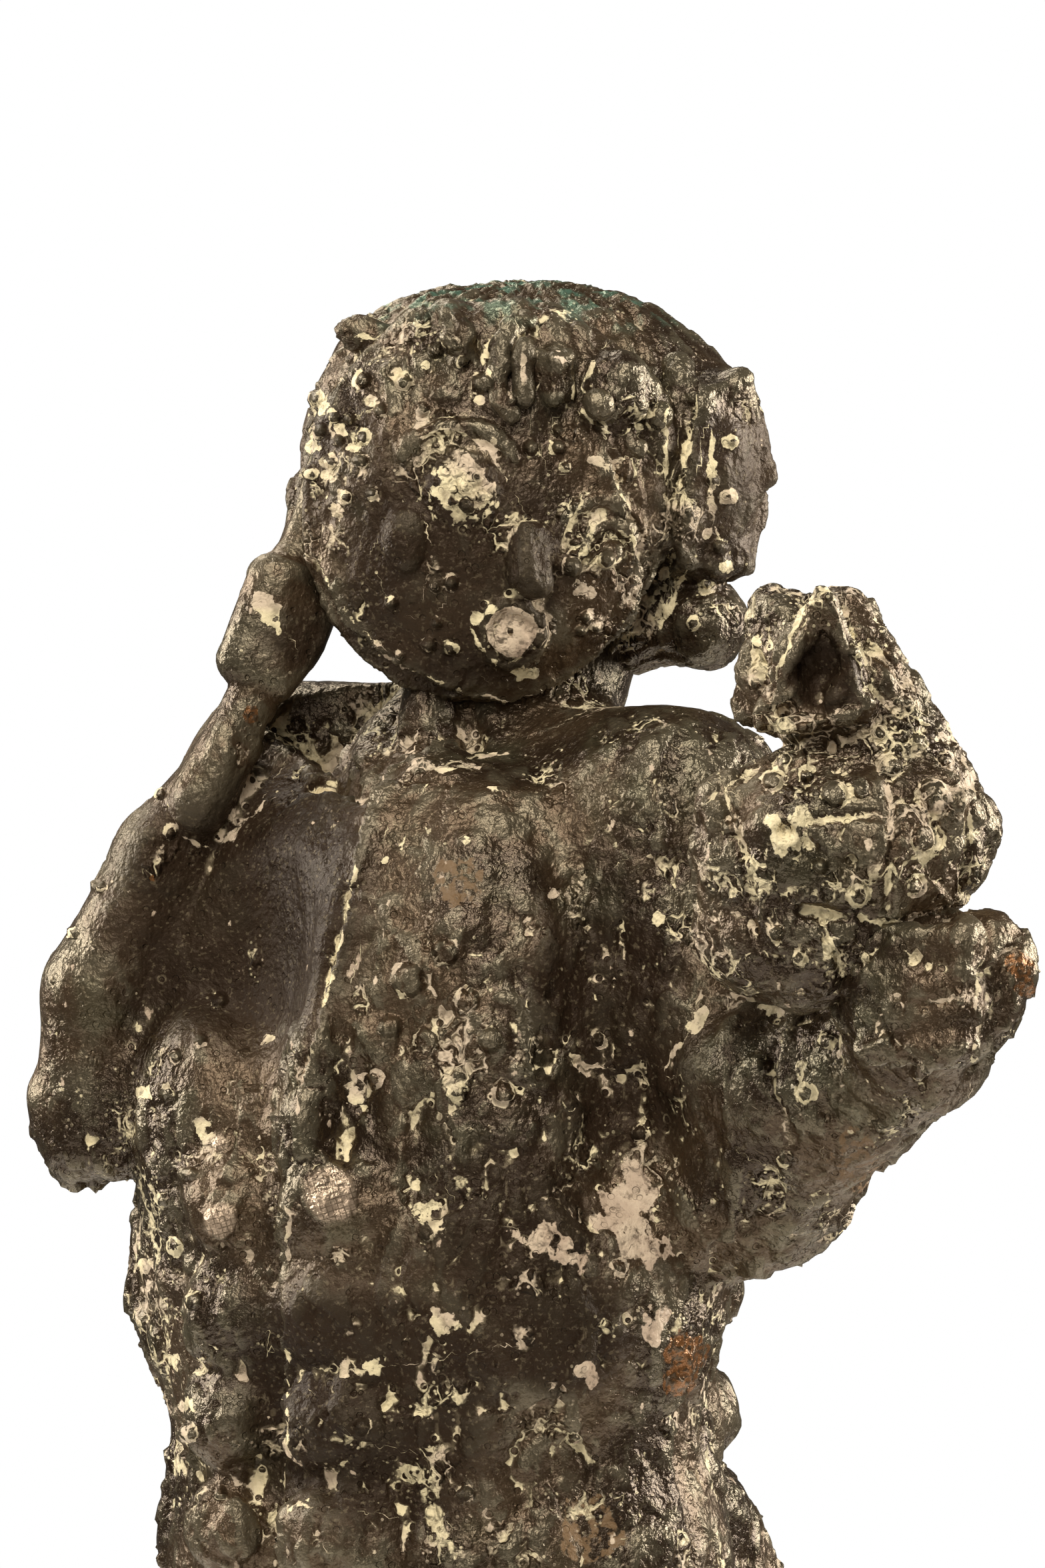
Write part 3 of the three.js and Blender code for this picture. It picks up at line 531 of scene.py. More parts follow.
def body_relief(p, normals):
    seen, facing = photo_place(p), normals[:, 1]
    # The raised arm, the chest's hollow and the top of the near breast were smoothed more than the rest.
    arm = np.clip((-72 - p[:, 0]) / 12, 0, 1) * np.clip((p[:, 2] - 700) / 30, 0, 1)
    hand = np.clip((p[:, 2] - 840) / 12, 0, 1)
    hollow = np.clip(1.5 * marked(seen, facing, [(330, 1390, 260)]), 0, 1)
    top = np.clip(1.5 * marked(seen, facing, [(720, 1230, 230)]), 0, 1)
    quiet = np.max([0.7 * arm, 0.8 * hand, 0.8 * hollow, 0.4 * top], axis=0)
    rise = skin_relief(p / MM) * (1 - quiet)
    rise += 2.0 * lapped(seen, facing, BREAST_EDGE, 70)
    lumps = 1.6 * np.sqrt(np.clip(marked(seen, facing, CHEST_LUMPS), 0, 1))
    rise += lumps + 1.0 * pressed(seen, facing, PELLETS)
    rise += 1.5 * np.clip(3 * marked(seen, facing, BEIGE_LUMPS), 0, 1)
    return rise - 0.7 * np.clip(1 - np.abs(beside(seen, [CRACK])) / 7, 0, 1) * (facing < TURNED_AWAY)


def body_colours(p, normals):
    seen, facing = photo_place(p), normals[:, 1]
    quiet = np.clip(2 * marked(seen, facing, [(330, 1390, 260), (905, 1450, 130), (640, 1290, 170)]), 0, 1)
    trails = np.clip(1.6 * streaked(seen, facing, CREAM_TRAILS), 0, 1)
    return {
        # Painted shade on the shaded patches, made a little uneven by grain.
        "painted_shade": np.clip(1.7 * marked(seen, facing, SHADE_PATCHES) + 0.3 * grain(p / MM, 20, 44), 0, 1),
        "deposit": 0.22 + 0.4 * trails - 0.2 * quiet + 0.16 * grain(p / MM, 40, 42),
        "worn": marked(seen, facing, WORN_METAL),
        "rust": marked(seen, facing, RUST),
        "beige": 0.85 * np.clip(4 * marked(seen, facing, BEIGE_LUMPS) + 0.8 * grain(p / MM, 6, 47), 0, 1),
        "patch": marked(seen, facing, BEIGE_PATCHES),
        "verdigris": np.zeros(len(p)),
        **crust_marks(seen, facing, PELLETS, CRUST_LINES, FLECKS),
    }


class Shader:
    """Joins a material's nodes with few words."""

    def __init__(self, name):
        self.material = bpy.data.materials.new(name)
        self.material.use_nodes = True
        self.tree = self.material.node_tree
        self.skin = self.tree.nodes["Principled BSDF"]

    def node(self, kind, values=None, **settings):
        made = self.tree.nodes.new(kind)
        for key, value in settings.items():
            setattr(made, key, value)
        for key, value in (values or {}).items():
            self.put(made.inputs[key], value)
        return made

    def put(self, socket, value):
        if isinstance(value, bpy.types.NodeSocket):
            self.tree.links.new(value, socket)
        else:
            socket.default_value = value

    def maths(self, operation, *values):
        return self.node("ShaderNodeMath", dict(enumerate(values)), operation=operation).outputs[0]

    def plus(self, first, second):
        return self.maths("ADD", first, second)

    def less(self, first, second):
        return self.maths("SUBTRACT", first, second)

    def times(self, first, second):
        return self.maths("MULTIPLY", first, second)

    def most(self, first, second):
        return self.maths("MAXIMUM", first, second)

    def ramp(self, value, start, end, low=0.0, high=1.0):
        inputs = {"Value": value, "From Min": start, "From Max": end, "To Min": low, "To Max": high}
        return self.node("ShaderNodeMapRange", inputs, interpolation_type="SMOOTHSTEP").outputs["Result"]

    def mix(self, share, first, second):
        made = self.node("ShaderNodeMix", data_type="RGBA")
        self.put(made.inputs[0], share)
        self.put(made.inputs[6], first)
        self.put(made.inputs[7], second)
        return made.outputs[2]

    def mark(self, name):
        return self.node("ShaderNodeAttribute", attribute_name=name).outputs["Fac"]

    def noise(self, place, scale, detail=3.0, **inputs):
        values = {"Vector": place, "Scale": scale, "Detail": detail, **inputs}
        return self.node("ShaderNodeTexNoise", values).outputs["Fac"]


def colour(red, green, blue):
    """A shader's colour from a screen's, each from 0 to 255."""
    light = [c / 255 / 12.92 if c < 11 else ((c / 255 + 0.055) / 1.055) ** 2.4 for c in (red, green, blue)]
    return (*light, 1)


# Finishes of the bronze, from the photograph.
# The deepest brown is painted shade, laid only on the shaded patches.
SHADE_BROWN, DARK_BRONZE, BROWN_BRONZE = colour(34, 23, 14), colour(46, 34, 23), colour(68, 52, 35)
GREY_BRONZE, GREENISH, DUST = colour(92, 83, 64), colour(72, 68, 48), colour(112, 98, 74)
CREAM, PALE_BEIGE, BEIGE = colour(206, 188, 146), colour(184, 162, 134), colour(164, 141, 116)
TURQUOISE, BARE_METAL, RUST_BROWN = colour(96, 140, 116), colour(112, 72, 38), colour(98, 72, 42)


def bronze_patina(name):
    """Dark waxed bronze, brown in its hollows, rubbed grey on its heights, pale crust in its crevices, and
    painted shade: a deep brown, duller and reflecting less, on the patches where shade falls.
    """
    s = Shader(name)
    place = s.node("ShaderNodeTexCoord").outputs["Object"]
    drawn = s.node("ShaderNodeMapping", {"Vector": place, "Scale": (1.0, 1.0, 0.75)}).outputs[0]
    cloud, broken, speck = s.noise(place, 30, 4), s.noise(drawn, 190, 4), s.noise(place, 620, 3)
    torn = s.noise(place, 300, 5)

    def spot(mark, roughness, uneven):
        """A mark with its edge torn by the unevenness of the skin."""
        edge = s.plus(s.mark(mark), s.times(s.less(uneven, 0.52), roughness))
        return s.ramp(edge, 0.0, 0.18)

    ground = s.mix(s.ramp(cloud, 0.38, 0.62), DARK_BRONZE, BROWN_BRONZE)
    high = s.less(s.noise(place, 90, 5), s.times(s.mark("wide_hollow"), 0.06))
    high = s.less(high, s.times(s.mark("fine_hollow"), 0.06))
    ground = s.mix(s.ramp(high, 0.5, 0.72, 0, 0.65), ground, GREY_BRONZE)
    ground = s.mix(s.ramp(s.noise(place, 46, 3), 0.54, 0.72, 0, 0.45), ground, GREENISH)
    # Painted shade: the shaded patches are painted a deep brown.
    ground = s.mix(s.times(s.mark("painted_shade"), 0.85), ground, SHADE_BROWN)
    # Small pellets press against each other in patches, and the crust stays in the joints between them.
    bent = s.node("ShaderNodeTexNoise", {"Vector": place, "Scale": 130.0, "Detail": 3.0}).outputs["Color"]
    bend = (0.010, 0.010, 0.010)
    bent = s.node("ShaderNodeVectorMath", {0: bent, 1: bend}, operation="MULTIPLY").outputs[0]
    bent = s.node("ShaderNodeVectorMath", {0: drawn, 1: bent}, operation="ADD").outputs[0]
    joint = s.node("ShaderNodeTexVoronoi", {"Vector": bent, "Scale": 210.0}, feature="DISTANCE_TO_EDGE")
    joint = joint.outputs["Distance"]
    amount = s.less(s.mark("deposit"), 0.5)
    crowd = s.plus(s.noise(place, 70, 4), s.times(amount, 0.3))
    crowd = s.plus(crowd, s.times(s.mark("wide_hollow"), 0.02))
    crowded = s.ramp(crowd, 0.5, 0.58)
    width = s.plus(joint, s.times(s.less(0.5, broken), 0.5))
    line = s.times(s.ramp(width, 0.1, 0.04), s.ramp(crowd, 0.53, 0.57))
    # Crust also lies where the skin is hollow, thicker where more was left, with dark round pits in it.
    lying = s.plus(s.times(s.mark("fine_hollow"), 0.36), s.times(s.mark("wide_hollow"), 0.16))
    lying = s.plus(lying, s.times(s.less(broken, 0.5), 2.6))
    lying = s.plus(lying, s.less(amount, 0.68))
    cell = s.node("ShaderNodeTexVoronoi", {"Vector": place, "Scale": 300.0})
    chosen = s.ramp(cell.outputs["Color"], 0.42, 0.46)
    off, size = cell.outputs["Distance"], 0.3
    pit = s.times(s.ramp(off, size, size - 0.07), chosen)
    ring = s.times(s.times(s.ramp(off, size - 0.05, size), s.ramp(off, size + 0.18, size + 0.1)), chosen)
    lying = s.plus(lying, s.times(ring, 0.3))
    lying = s.less(lying, s.times(pit, 1.6))
    crust = s.times(s.ramp(lying, -0.05, 0.16), s.ramp(speck, 0.3, 0.42, 0.5, 1.0))
    crust = s.most(crust, s.times(line, s.ramp(speck, 0.36, 0.46, 0.4, 0.95)))
    # Rings of it stand round the pressed pellets, and lines of it in the seams, now wide and now broken off.
    wander = s.times(s.less(torn, 0.5), 3.6)
    held = s.ramp(s.plus(broken, s.times(amount, 0.15)), 0.36, 0.66, -0.15, 1.1)
    for mark in ("pellet", "seam"):
        off_line = s.maths("ABSOLUTE", s.plus(s.mark(mark), wander))
        crust = s.most(crust, s.ramp(s.less(off_line, held), 0.0, -0.3))
    fleck = s.times(spot("fleck", 4.6, torn), s.ramp(speck, 0.3, 0.4, 0.6, 1.0))
    crust = s.most(crust, s.times(fleck, s.ramp(s.mark("pellet"), -0.1, 0.15)))
    grit = s.node("ShaderNodeTexVoronoi", {"Vector": place, "Scale": 640.0})
    grit = s.times(s.ramp(grit.outputs["Distance"], 0.34, 0.22), s.ramp(grit.outputs["Color"], 0.66, 0.7))
    grit = s.times(grit, s.ramp(s.plus(crowd, s.times(broken, 0.3)), 0.56, 0.7))
    crust = s.most(crust, s.times(grit, 0.8))
    pale = s.mix(s.ramp(s.noise(place, 60, 3), 0.44, 0.6), CREAM, PALE_BEIGE)
    pale = s.mix(s.ramp(s.noise(place, 260, 3), 0.46, 0.72, 0, 0.7), pale, DUST)
    dusty = s.most(s.ramp(lying, -0.4, 0.0, 0, 0.5), s.ramp(s.noise(place, 900, 2), 0.58, 0.68, 0, 0.3))
    shade = s.mix(dusty, ground, DUST)
    rust = s.times(spot("rust", 3.0, broken), s.ramp(s.noise(place, 380, 4), 0.46, 0.56))
    shade = s.mix(s.times(rust, 0.85), shade, RUST_BROWN)
    shade = s.mix(crust, shade, pale)
    patch = s.times(spot("patch", 5.5, broken), s.ramp(speck, 0.34, 0.46, 0.5, 1.0))
    shade = s.mix(patch, shade, s.mix(s.ramp(s.noise(place, 110, 4), 0.4, 0.6), BEIGE, PALE_BEIGE))
    # Two lumps of beige filling are scored across both ways.
    scored = s.node("ShaderNodeMapping", {"Vector": place, "Rotation": (0.0, 0.3, 0.0)}).outputs[0]
    scored = s.node("ShaderNodeSeparateXYZ", {"Vector": scored}).outputs
    scores = 4600.0
    across, down = [s.maths("SINE", s.times(scored[axis], scores)) for axis in (0, 2)]
    scored = s.ramp(s.plus(s.most(across, down), s.times(torn, 1.6)), 1.4, 1.8)
    shade = s.mix(s.mark("beige"), shade, s.mix(s.times(scored, 0.7), BEIGE, BROWN_BRONZE))
    shade = s.mix(spot("worn", 2.5, broken), shade, s.mix(s.ramp(speck, 0.4, 0.6), BARE_METAL, BROWN_BRONZE))
    shade = s.mix(s.times(s.mark("verdigris"), s.ramp(broken, 0.5, 0.66, 0, 0.8)), shade, TURQUOISE)
    s.put(s.skin.inputs["Base Color"], shade)
    # Where shade is painted the bronze is also made duller and reflects less.
    dull = s.most(crust, s.most(rust, patch))
    dull = s.most(dull, s.times(s.mark("painted_shade"), 0.6))
    s.put(s.skin.inputs["Roughness"], s.plus(s.ramp(cloud, 0.3, 0.7, 0.22, 0.35), s.times(dull, 0.35)))
    s.put(s.skin.inputs["Metallic"], s.times(s.less(1.0, dull), 0.55))
    s.put(s.skin.inputs["Specular IOR Level"], s.ramp(s.mark("painted_shade"), 0.0, 1.0, 0.5, 0.12))
    s.skin.inputs["Specular Tint"].default_value = (1.0, 0.87, 0.68, 1.0)
    height = s.plus(s.times(s.noise(drawn, 210, 6), 1.1), s.times(speck, 0.5))
    height = s.plus(height, s.times(crust, 0.25))
    height = s.plus(height, s.times(s.ramp(joint, 0.0, 0.22), s.times(crowded, 0.9)))
    height = s.plus(height, s.ramp(s.mark("pellet"), 0.6, -1.4, 0.0, 1.2))
    height = s.less(height, s.times(pit, 0.35))
    bump = s.node("ShaderNodeBump", {"Strength": 0.9, "Distance": 0.0013, "Height": height})
    s.put(s.skin.inputs["Normal"], bump.outputs["Normal"])
    return s.material


BODY_CELL, BODY_TRIANGLES = 1.25 * MM, 190000
body = wax_mesh("faun_body", body_wax(), BODY_CELL, body_relief, body_colours, BODY_TRIANGLES)
body.data.materials.append(bronze_patina("bronze_patina_body"))
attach(body, "root")
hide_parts("faun_casting")

# Held lump: a lump of wax on the fist, cast with it. It has a hooded knob over a squat, banded barrel, and
# small bosses like grapes round its sides, with more of the pale crust than any other part.


def lump_wax():
    wax = []
    press(wax, 5, egg((118, -140, 862), (25, 22, 25)), limb((128, -140, 862), (148, -138, 824), 17, 20))
    press(wax, 4, egg((104, -140, 880), (9, 12, 9)), egg((126, -138, 881), (10, 13, 8)))
    press(wax, 5, egg((126, -138, 806), (46, 36, 34)), egg((116, -134, 782), (38, 32, 28)))
    press(wax, 4, egg((92, -142, 798), (14, 16, 27)))
    # The hood's pointed arch over its hollow, and the lip under that.
    carve(wax, 2, egg((117, -166, 861), (9.5, 11, 15)))
    arch = [(99, -155, 846, 4), (107, -161, 866, 4), (118, -164, 883, 4), (126, -162, 868, 4)]
    chain(wax, 2, [*arch, (130, -157, 850, 4.5)])
    press(wax, 2, limb((104, -158, 844), (126, -159, 848), 3, 3))
    # Grooves that divide the barrel.
    carve(wax, 2, limb((138, -179, 826), (138, -174, 790), 2.5, 2.5))
    carve(wax, 2, limb((88, -166, 785), (160, -170, 785), 3, 3))
    bosses = 9
    for i in range(bosses):
        angle = i / bosses * 2 * math.pi
        rise = 7 * math.sin(3 * angle)
        across, ahead = math.cos(angle), math.sin(angle)
        press(wax, 3, egg((126 + 38 * across, -138 - 28 * ahead, 812 + rise), (12, 11, 12)))
        press(wax, 3, egg((119 + 24 * across, -139 - 20 * ahead, 858 + rise), (6, 6, 8)))
    return wax


LUMP_HOLES = [(1247, 1120, 9), (1277, 1290, 11), (1177, 1246, 16), (1353, 1510, 10)]
LUMP_PELLETS = [
    (1402, 1196, 24), (1336, 1148, 17), (1253, 1191, 20), (1290, 1187, 14), (1385, 1257, 20),
    (1288, 1345, 17), (1375, 1330, 13), (1284, 977, 10), (1135, 1021, 12), (1160, 1170, 15),
    (1100, 1240, 14), (1120, 1300, 13), (1210, 1160, 11), (1230, 1300, 12), (1420, 1140, 12),
    (1250, 1420, 13), (1310, 1440, 14), (1380, 1420, 12), (1200, 1440, 11), (1345, 1500, 12),
    (1165, 1400, 12), (1320, 1100, 11), (1380, 1110, 12),
]
LUMP_LINES = [
    [(1070, 1196), (1131, 1152), (1140, 1108)],
    [(1131, 1336), (1127, 1397), (1160, 1440)],
    [(1201, 1366), (1288, 1379), (1350, 1388), (1440, 1370)],
    [(1218, 1231), (1270, 1226), (1323, 1226)],
    [(1332, 1170), (1338, 1270), (1332, 1362)],
    [(1446, 1126), (1458, 1240), (1454, 1344)],
    [(1131, 977), (1149, 1047), (1175, 986), (1205, 916)],
    [(1271, 916), (1297, 1030), (1340, 1060), (1430, 1110)],
    [(1149, 1100), (1218, 1073), (1280, 1056)],
    [(1085, 1180), (1108, 1260), (1130, 1330)],
    [(1235, 1380), (1270, 1470), (1300, 1540)],
    [(1300, 960), (1350, 1010), (1390, 1060)],
]


def lump_relief(p, normals):
    seen, facing = photo_place(p), normals[:, 1]
    rise = 0.7 * skin_relief(p / MM, 1.0) + 0.9 * pellets(p / MM, 9, 5, 50) - 0.6
    rise += 1.5 * pressed(seen, facing, LUMP_PELLETS) - 0.7 * pellets(p / MM, 7, 1.9, 60, 0.6)
    rise -= 1.3 * np.clip(1.6 - np.abs(beside(seen, LUMP_LINES)) / 7, 0, 1) * (facing < TURNED_AWAY)
    return rise - 2.5 * np.clip(2 * marked(seen, facing, LUMP_HOLES), 0, 1)


def plain_colours(deposit):
    def colours(p, normals):
        marks = {key: np.full(len(p), -1.0) for key in ("patch", "worn", "rust", "fleck")}
        marks.update({key: np.zeros(len(p)) for key in ("painted_shade", "beige", "verdigris")})
        marks.update({key: np.full(len(p), 99.0) for key in ("pellet", "seam")})
        return {"deposit": deposit + 0.12 * grain(p / MM, 40, 42), **marks}

    return colours


LUMP_FLECKS = [
    (1177, 1262, 24), (1200, 1230, 20), (1160, 1235, 14), (1390, 1285, 14), (1405, 1265, 11),
    (1135, 960, 10),
]


def lump_colours(p, normals):
    seen, facing = photo_place(p), normals[:, 1]
    marks = plain_colours(0.54)(p, normals)
    hood = np.clip(2 * marked(seen, facing, [(1236, 1015, 62)]), 0, 1)
    marks["deposit"] -= 1.5 * hood
    # Painted shade in the hollow under the hood.
    marks["painted_shade"] = hood
    return {**marks, **crust_marks(seen, facing, LUMP_PELLETS, LUMP_LINES, LUMP_FLECKS)}


LUMP_CELL, LUMP_TRIANGLES = 0.85 * MM, 190000
lump = wax_mesh("held_lump", lump_wax(), LUMP_CELL, lump_relief, lump_colours, LUMP_TRIANGLES)
lump.data.materials.append(bronze_patina("bronze_patina_lump"))
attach(lump, "root")
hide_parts("faun_casting")

# Head: a flat disc of a face set like a lid on a thick cap of hair. Eyes, nose and mouth are pellets and
# rings pressed onto the disc, the fringe is hooked rolls, and two small horns rise out of it.
HEAD_LEAN = (0, 17, 0)
FACE_CENTRE, FACE_RADII = (12, -18, 922), (60, 28, 68)


def roll(centre, radius, thickness, start, sweep, tilt=(0, 0, 0)):
    """A bent roll of wax: an arc that faces the viewer, in degrees from +X."""
    centre, axes = np.array(centre, float), tilted(tilt)
    middle, half = math.radians(start + sweep / 2), math.radians(abs(sweep) / 2)

    def distance(points):
        q = (points - centre) @ axes
        off = (np.arctan2(q[..., 2], q[..., 0]) - middle + math.pi) % (2 * math.pi) - math.pi
        angle = middle + np.clip(off, -half, half)
        across = q[..., 0] - radius * np.cos(angle)
        along = q[..., 2] - radius * np.sin(angle)
        return np.sqrt(across**2 + q[..., 1] ** 2 + along**2) - thickness

    return centre, radius + thickness, distance


def on_face(x, z, out=0):
    u, w = (x - FACE_CENTRE[0]) / FACE_RADII[0], (z - FACE_CENTRE[2]) / FACE_RADII[2]
    return (x, FACE_CENTRE[1] - FACE_RADII[1] * math.sqrt(max(1 - u * u - w * w, 0)) - out, z)


def roll_on_face(wax, centre, radii, thickness, start, end):
    """A roll of wax laid on the face as an arc, in degrees from +X."""
    turns = np.radians(np.linspace(start, end, 12))
    spots = [on_face(centre[0] + radii[0] * math.cos(t), centre[1] + radii[1] * math.sin(t)) for t in turns]
    chain(wax, 1.2, [(*spot, thickness) for spot in spots])


def head_wax():
    wax = []
    press(wax, 10, egg((28, 25, 935), (79, 46, 65)), egg((0, 14, 949), (48, 40, 47)))
    press(wax, 5, egg(FACE_CENTRE, FACE_RADII, HEAD_LEAN))
    press(wax, 2.5, egg((12, -22, 922), (62, 8, 69), HEAD_LEAN))
    press(wax, 5, roll((14, -20, 919), 57, 9, 10, 160, HEAD_LEAN))
    # Eyes: one is a ball in a lid ring under a brow, the other two pellets under two arcs.
    press(wax, 1, egg(on_face(4, 925), (10.5, 4, 10.5)))
    roll_on_face(wax, (4, 925), (11, 11), 1.6, 0, 360)
    roll_on_face(wax, (2, 926), (21, 20), 2.4, 25, 150)
    press(wax, 1, egg(on_face(53, 903), (4.5, 5, 4.5)), egg(on_face(39, 900), (4.5, 4, 4.5)))
    roll_on_face(wax, (53, 903), (9, 10), 1.6, 0, 180)
    roll_on_face(wax, (50, 903), (16, 18), 2.2, 10, 190)
    # Cheek pellet, nose, and the mouth's ring round its disc.
    press(wax, 2, egg(on_face(-15, 908), (8, 5, 11), (0, 6, 0)))
    press(wax, 2, slab(on_face(26, 902, 1), (6.5, 6.5, 10.5), 3, (-10, 4, 38)))
    press(wax, 2, egg(on_face(28, 892, 3), (6, 7, 4.5)))
    roll_on_face(wax, (20, 876), (9.8, 9.8), 2.4, 0, 360)
    press(wax, 1.5, egg(on_face(20, 876, -1), (8, 4, 8)))
    carve(wax, 1, egg(on_face(20, 876, 3), (1.2, 3, 1.2)))
    press(wax, 6, egg((26, -26, 966), (46, 11, 17), HEAD_LEAN))
    # Fringe: a tall curl, a ridged leaf and a large knob with pellets over the brow, among smaller knobs.
    curl = [(26, 981, 3), (19.5, 978.5, 3.4), (15.7, 972, 3.4)]
    curl += [(14.4, 963, 3.2), (16, 954, 2.8), (20, 949, 2)]
    chain(wax, 1.5, [(*on_face(x, z, 5), radius) for x, z, radius in curl])
    press(wax, 1, egg(on_face(24, 964, 6), (2.6, 3, 11)))
    press(wax, 1, slab(on_face(34, 962, 3), (5, 5.5, 8.5), 1.5, (6, -10, 42)))
    press(wax, 1.5, limb(on_face(43, 978, 4), on_face(46, 966, 4), 4, 2))
    press(wax, 2, egg(on_face(54, 958, 4), (12, 8, 13), (0, 12, 0)))
    press(wax, 1, egg(on_face(58, 964, 9), (4, 4, 4)), egg(on_face(60, 954, 8), (4.5, 4, 4)))
    press(wax, 1, egg(on_face(49, 953, 7), (4, 4, 4)))
    press(wax, 1.5, limb(on_face(-1, 985, 5), on_face(5, 976, 5), 3, 3.6))
    for x, z, radius in [(4, 966, 8), (-14, 962, 8), (66, 944, 7)]:
        press(wax, 1.5, roll((x, -33, z), radius, 2.4, 60, 180, (-24, 0, 0)))
    # Two small horns rise out of the curls.
    chain(wax, 2, [(6, -34, 966, 5), (2, -39, 975, 4.4), (-2, -41, 984, 2.4)])
    chain(wax, 4, [(-22, -8, 976, 7), (-30, -8, 979, 6), (-37, -10, 981, 4.5)])
    # The thick hair beside the far cheek, with its locks and the lobe that hangs behind the jaw.
    press(wax, 7, egg((86, 8, 930), (21, 34, 38), (0, 10, 0)), egg((86, 4, 880), (15, 20, 15)))
    press(wax, 6, egg((62, 16, 884), (26, 24, 20)))
    press(wax, 2, slab((90, -6, 944), (12, 12, 20), 2, (6, -22, 30)))
    press(wax, 2, slab((94, 2, 914), (7, 10, 17), 2, (-4, 15, 48)))
    press(wax, 2, slab((86, -10, 914), (8, 9, 15), 2, (6, 8, 16)), egg((88, -8, 900), (8, 9, 6)))
    chain(wax, 5, [(77, -14, 966, 5), (80, -20, 934, 4.5), (77, -17, 908, 4)])
    # Ear and hair on the side of the raised hand, and locks round the back.
    press(wax, 4, egg((-42, 18, 936), (9, 14, 16)), egg((-38, 26, 912), (11, 14, 14)))
    press(wax, 1.5, egg((-50, 14, 924), (7, 9, 12)))
    locks = 9
    for i in range(locks):
        angle = math.radians(25 + 130 * i / (locks - 1))
        x, y = 28 + 68 * math.cos(angle), 20 + 42 * math.sin(angle)
        tip = (28 + (x - 28) * 0.92, 20 + (y - 20) * 0.96, 898 + 8 * (i % 2))
        press(wax, 4, limb((x, y, 952), tip, 11, 6))
    return wax


# The disc of the face ends in this rim, and the thick hair beside it starts at this edge.
FACE_RIM = [
    (489, 866), (525, 931), (606, 996), (687, 1036), (760, 1053), (841, 1036), (906, 996), (951, 931),
    (961, 866), (951, 801), (915, 700),
]
HAIR_EDGE = [(1044, 615), (1024, 745), (1016, 834), (987, 931)]
HEAD_PELLETS = [
    (700, 729, 10), (700, 757, 12), (678, 753, 7), (681, 735, 7), (722, 745, 9), (717, 718, 9),
    (545, 570, 12), (606, 573, 12), (473, 597, 11), (501, 627, 10), (524, 628, 10), (542, 655, 12),
    (480, 645, 10), (494, 692, 10), (541, 690, 11), (468, 712, 9), (508, 660, 9), (655, 526, 12),
    (724, 574, 16), (695, 542, 9), (797, 672, 12), (837, 670, 11), (837, 645, 8), (635, 615, 10),
    (570, 615, 10), (520, 745, 10), (560, 740, 9), (677, 874, 11), (643, 968, 11), (675, 972, 11),
    (880, 926, 9), (895, 942, 8), (872, 946, 8), (589, 905, 9), (912, 840, 13), (858, 849, 14),
    (652, 880, 8), (655, 935, 8), (600, 985, 8), (1095, 745, 10), (1070, 720, 9), (1100, 662, 9),
    (1080, 820, 11), (1060, 880, 10), (1040, 935, 9), (768, 600, 8), (850, 700, 8), (900, 640, 10),
]
HEAD_LINES = [
    FACE_RIM,
    HAIR_EDGE,
    [(594, 696), (623, 660), (663, 643), (700, 652), (736, 676), (756, 712)],
    [(855, 785), (874, 745), (910, 729), (939, 745), (955, 802)],
    [(874, 822), (890, 785), (910, 777), (939, 802)],
    [(704, 925), (712, 960), (740, 992)],
    [(752, 1008), (780, 1015), (815, 1010)],
    [(585, 775), (600, 748), (626, 752), (638, 780)],
    [(642, 800), (650, 830), (640, 870)],
    [(778, 505), (786, 550), (780, 610)],
    [(1000, 623), (998, 720), (1004, 834)],
    [(1024, 866), (1005, 910), (987, 947)],
    [(1069, 660), (1064, 740), (1077, 801)],
    [(880, 680), (905, 700), (930, 690)],
    [(896, 615), (880, 640), (905, 655)],
    [(800, 606), (815, 560), (835, 530), (864, 560), (860, 604)],
    [(868, 620), (876, 570), (900, 530)],
    [(880, 640), (930, 652), (975, 622)],
    [(540, 505), (590, 512), (640, 500)],
]
HEAD_FLECKS = [
    (688, 720, 38), (686, 746, 38), (708, 740, 36), (558, 600, 11), (486, 612, 12), (512, 646, 12),
    (470, 668, 12), (530, 672, 11), (492, 715, 11), (594, 560, 9), (640, 545, 9), (505, 765, 11),
    (740, 660, 9), (895, 690, 12), (742, 915, 12), (716, 928, 11), (782, 1012, 12), (800, 1012, 11),
    (720, 600, 9), (960, 640, 9), (1090, 850, 11), (1060, 800, 9), (870, 880, 13), (885, 890, 10),
]


def head_relief(p, normals):
    seen, facing = photo_place(p), normals[:, 1]
    on_disc = np.clip(2.5 * marked(seen, facing, [(740, 830, 235)]), 0, 1)
    hair = 1 - on_disc
    slabs = np.clip((p[:, 0] - 76) / 8, 0, 1)
    rise = skin_relief(p / MM) * (0.3 + 0.35 * hair - 0.2 * slabs)
    rise += (hair - 0.7 * slabs) * np.clip((12 - p[:, 1]) / 12, 0, 1) * (0.9 * pellets(p / MM, 8, 4, 70, 0.6))
    rise += 1.3 * pressed(seen, facing, HEAD_PELLETS)
    rise += 1.9 * lapped(seen, facing, FACE_RIM, 30) + 1.6 * lapped(seen, facing, HAIR_EDGE, 45)
    # The cap is combed from the crown downwards.
    angle = np.arctan2(p[:, 1] - 25, p[:, 0] - 28)
    combed = np.sin(46 * angle + 3 * grain(p / MM, 18, 90)) * np.clip((p[:, 1] + 12) / 12, 0, 1)
    return rise + 0.45 * combed


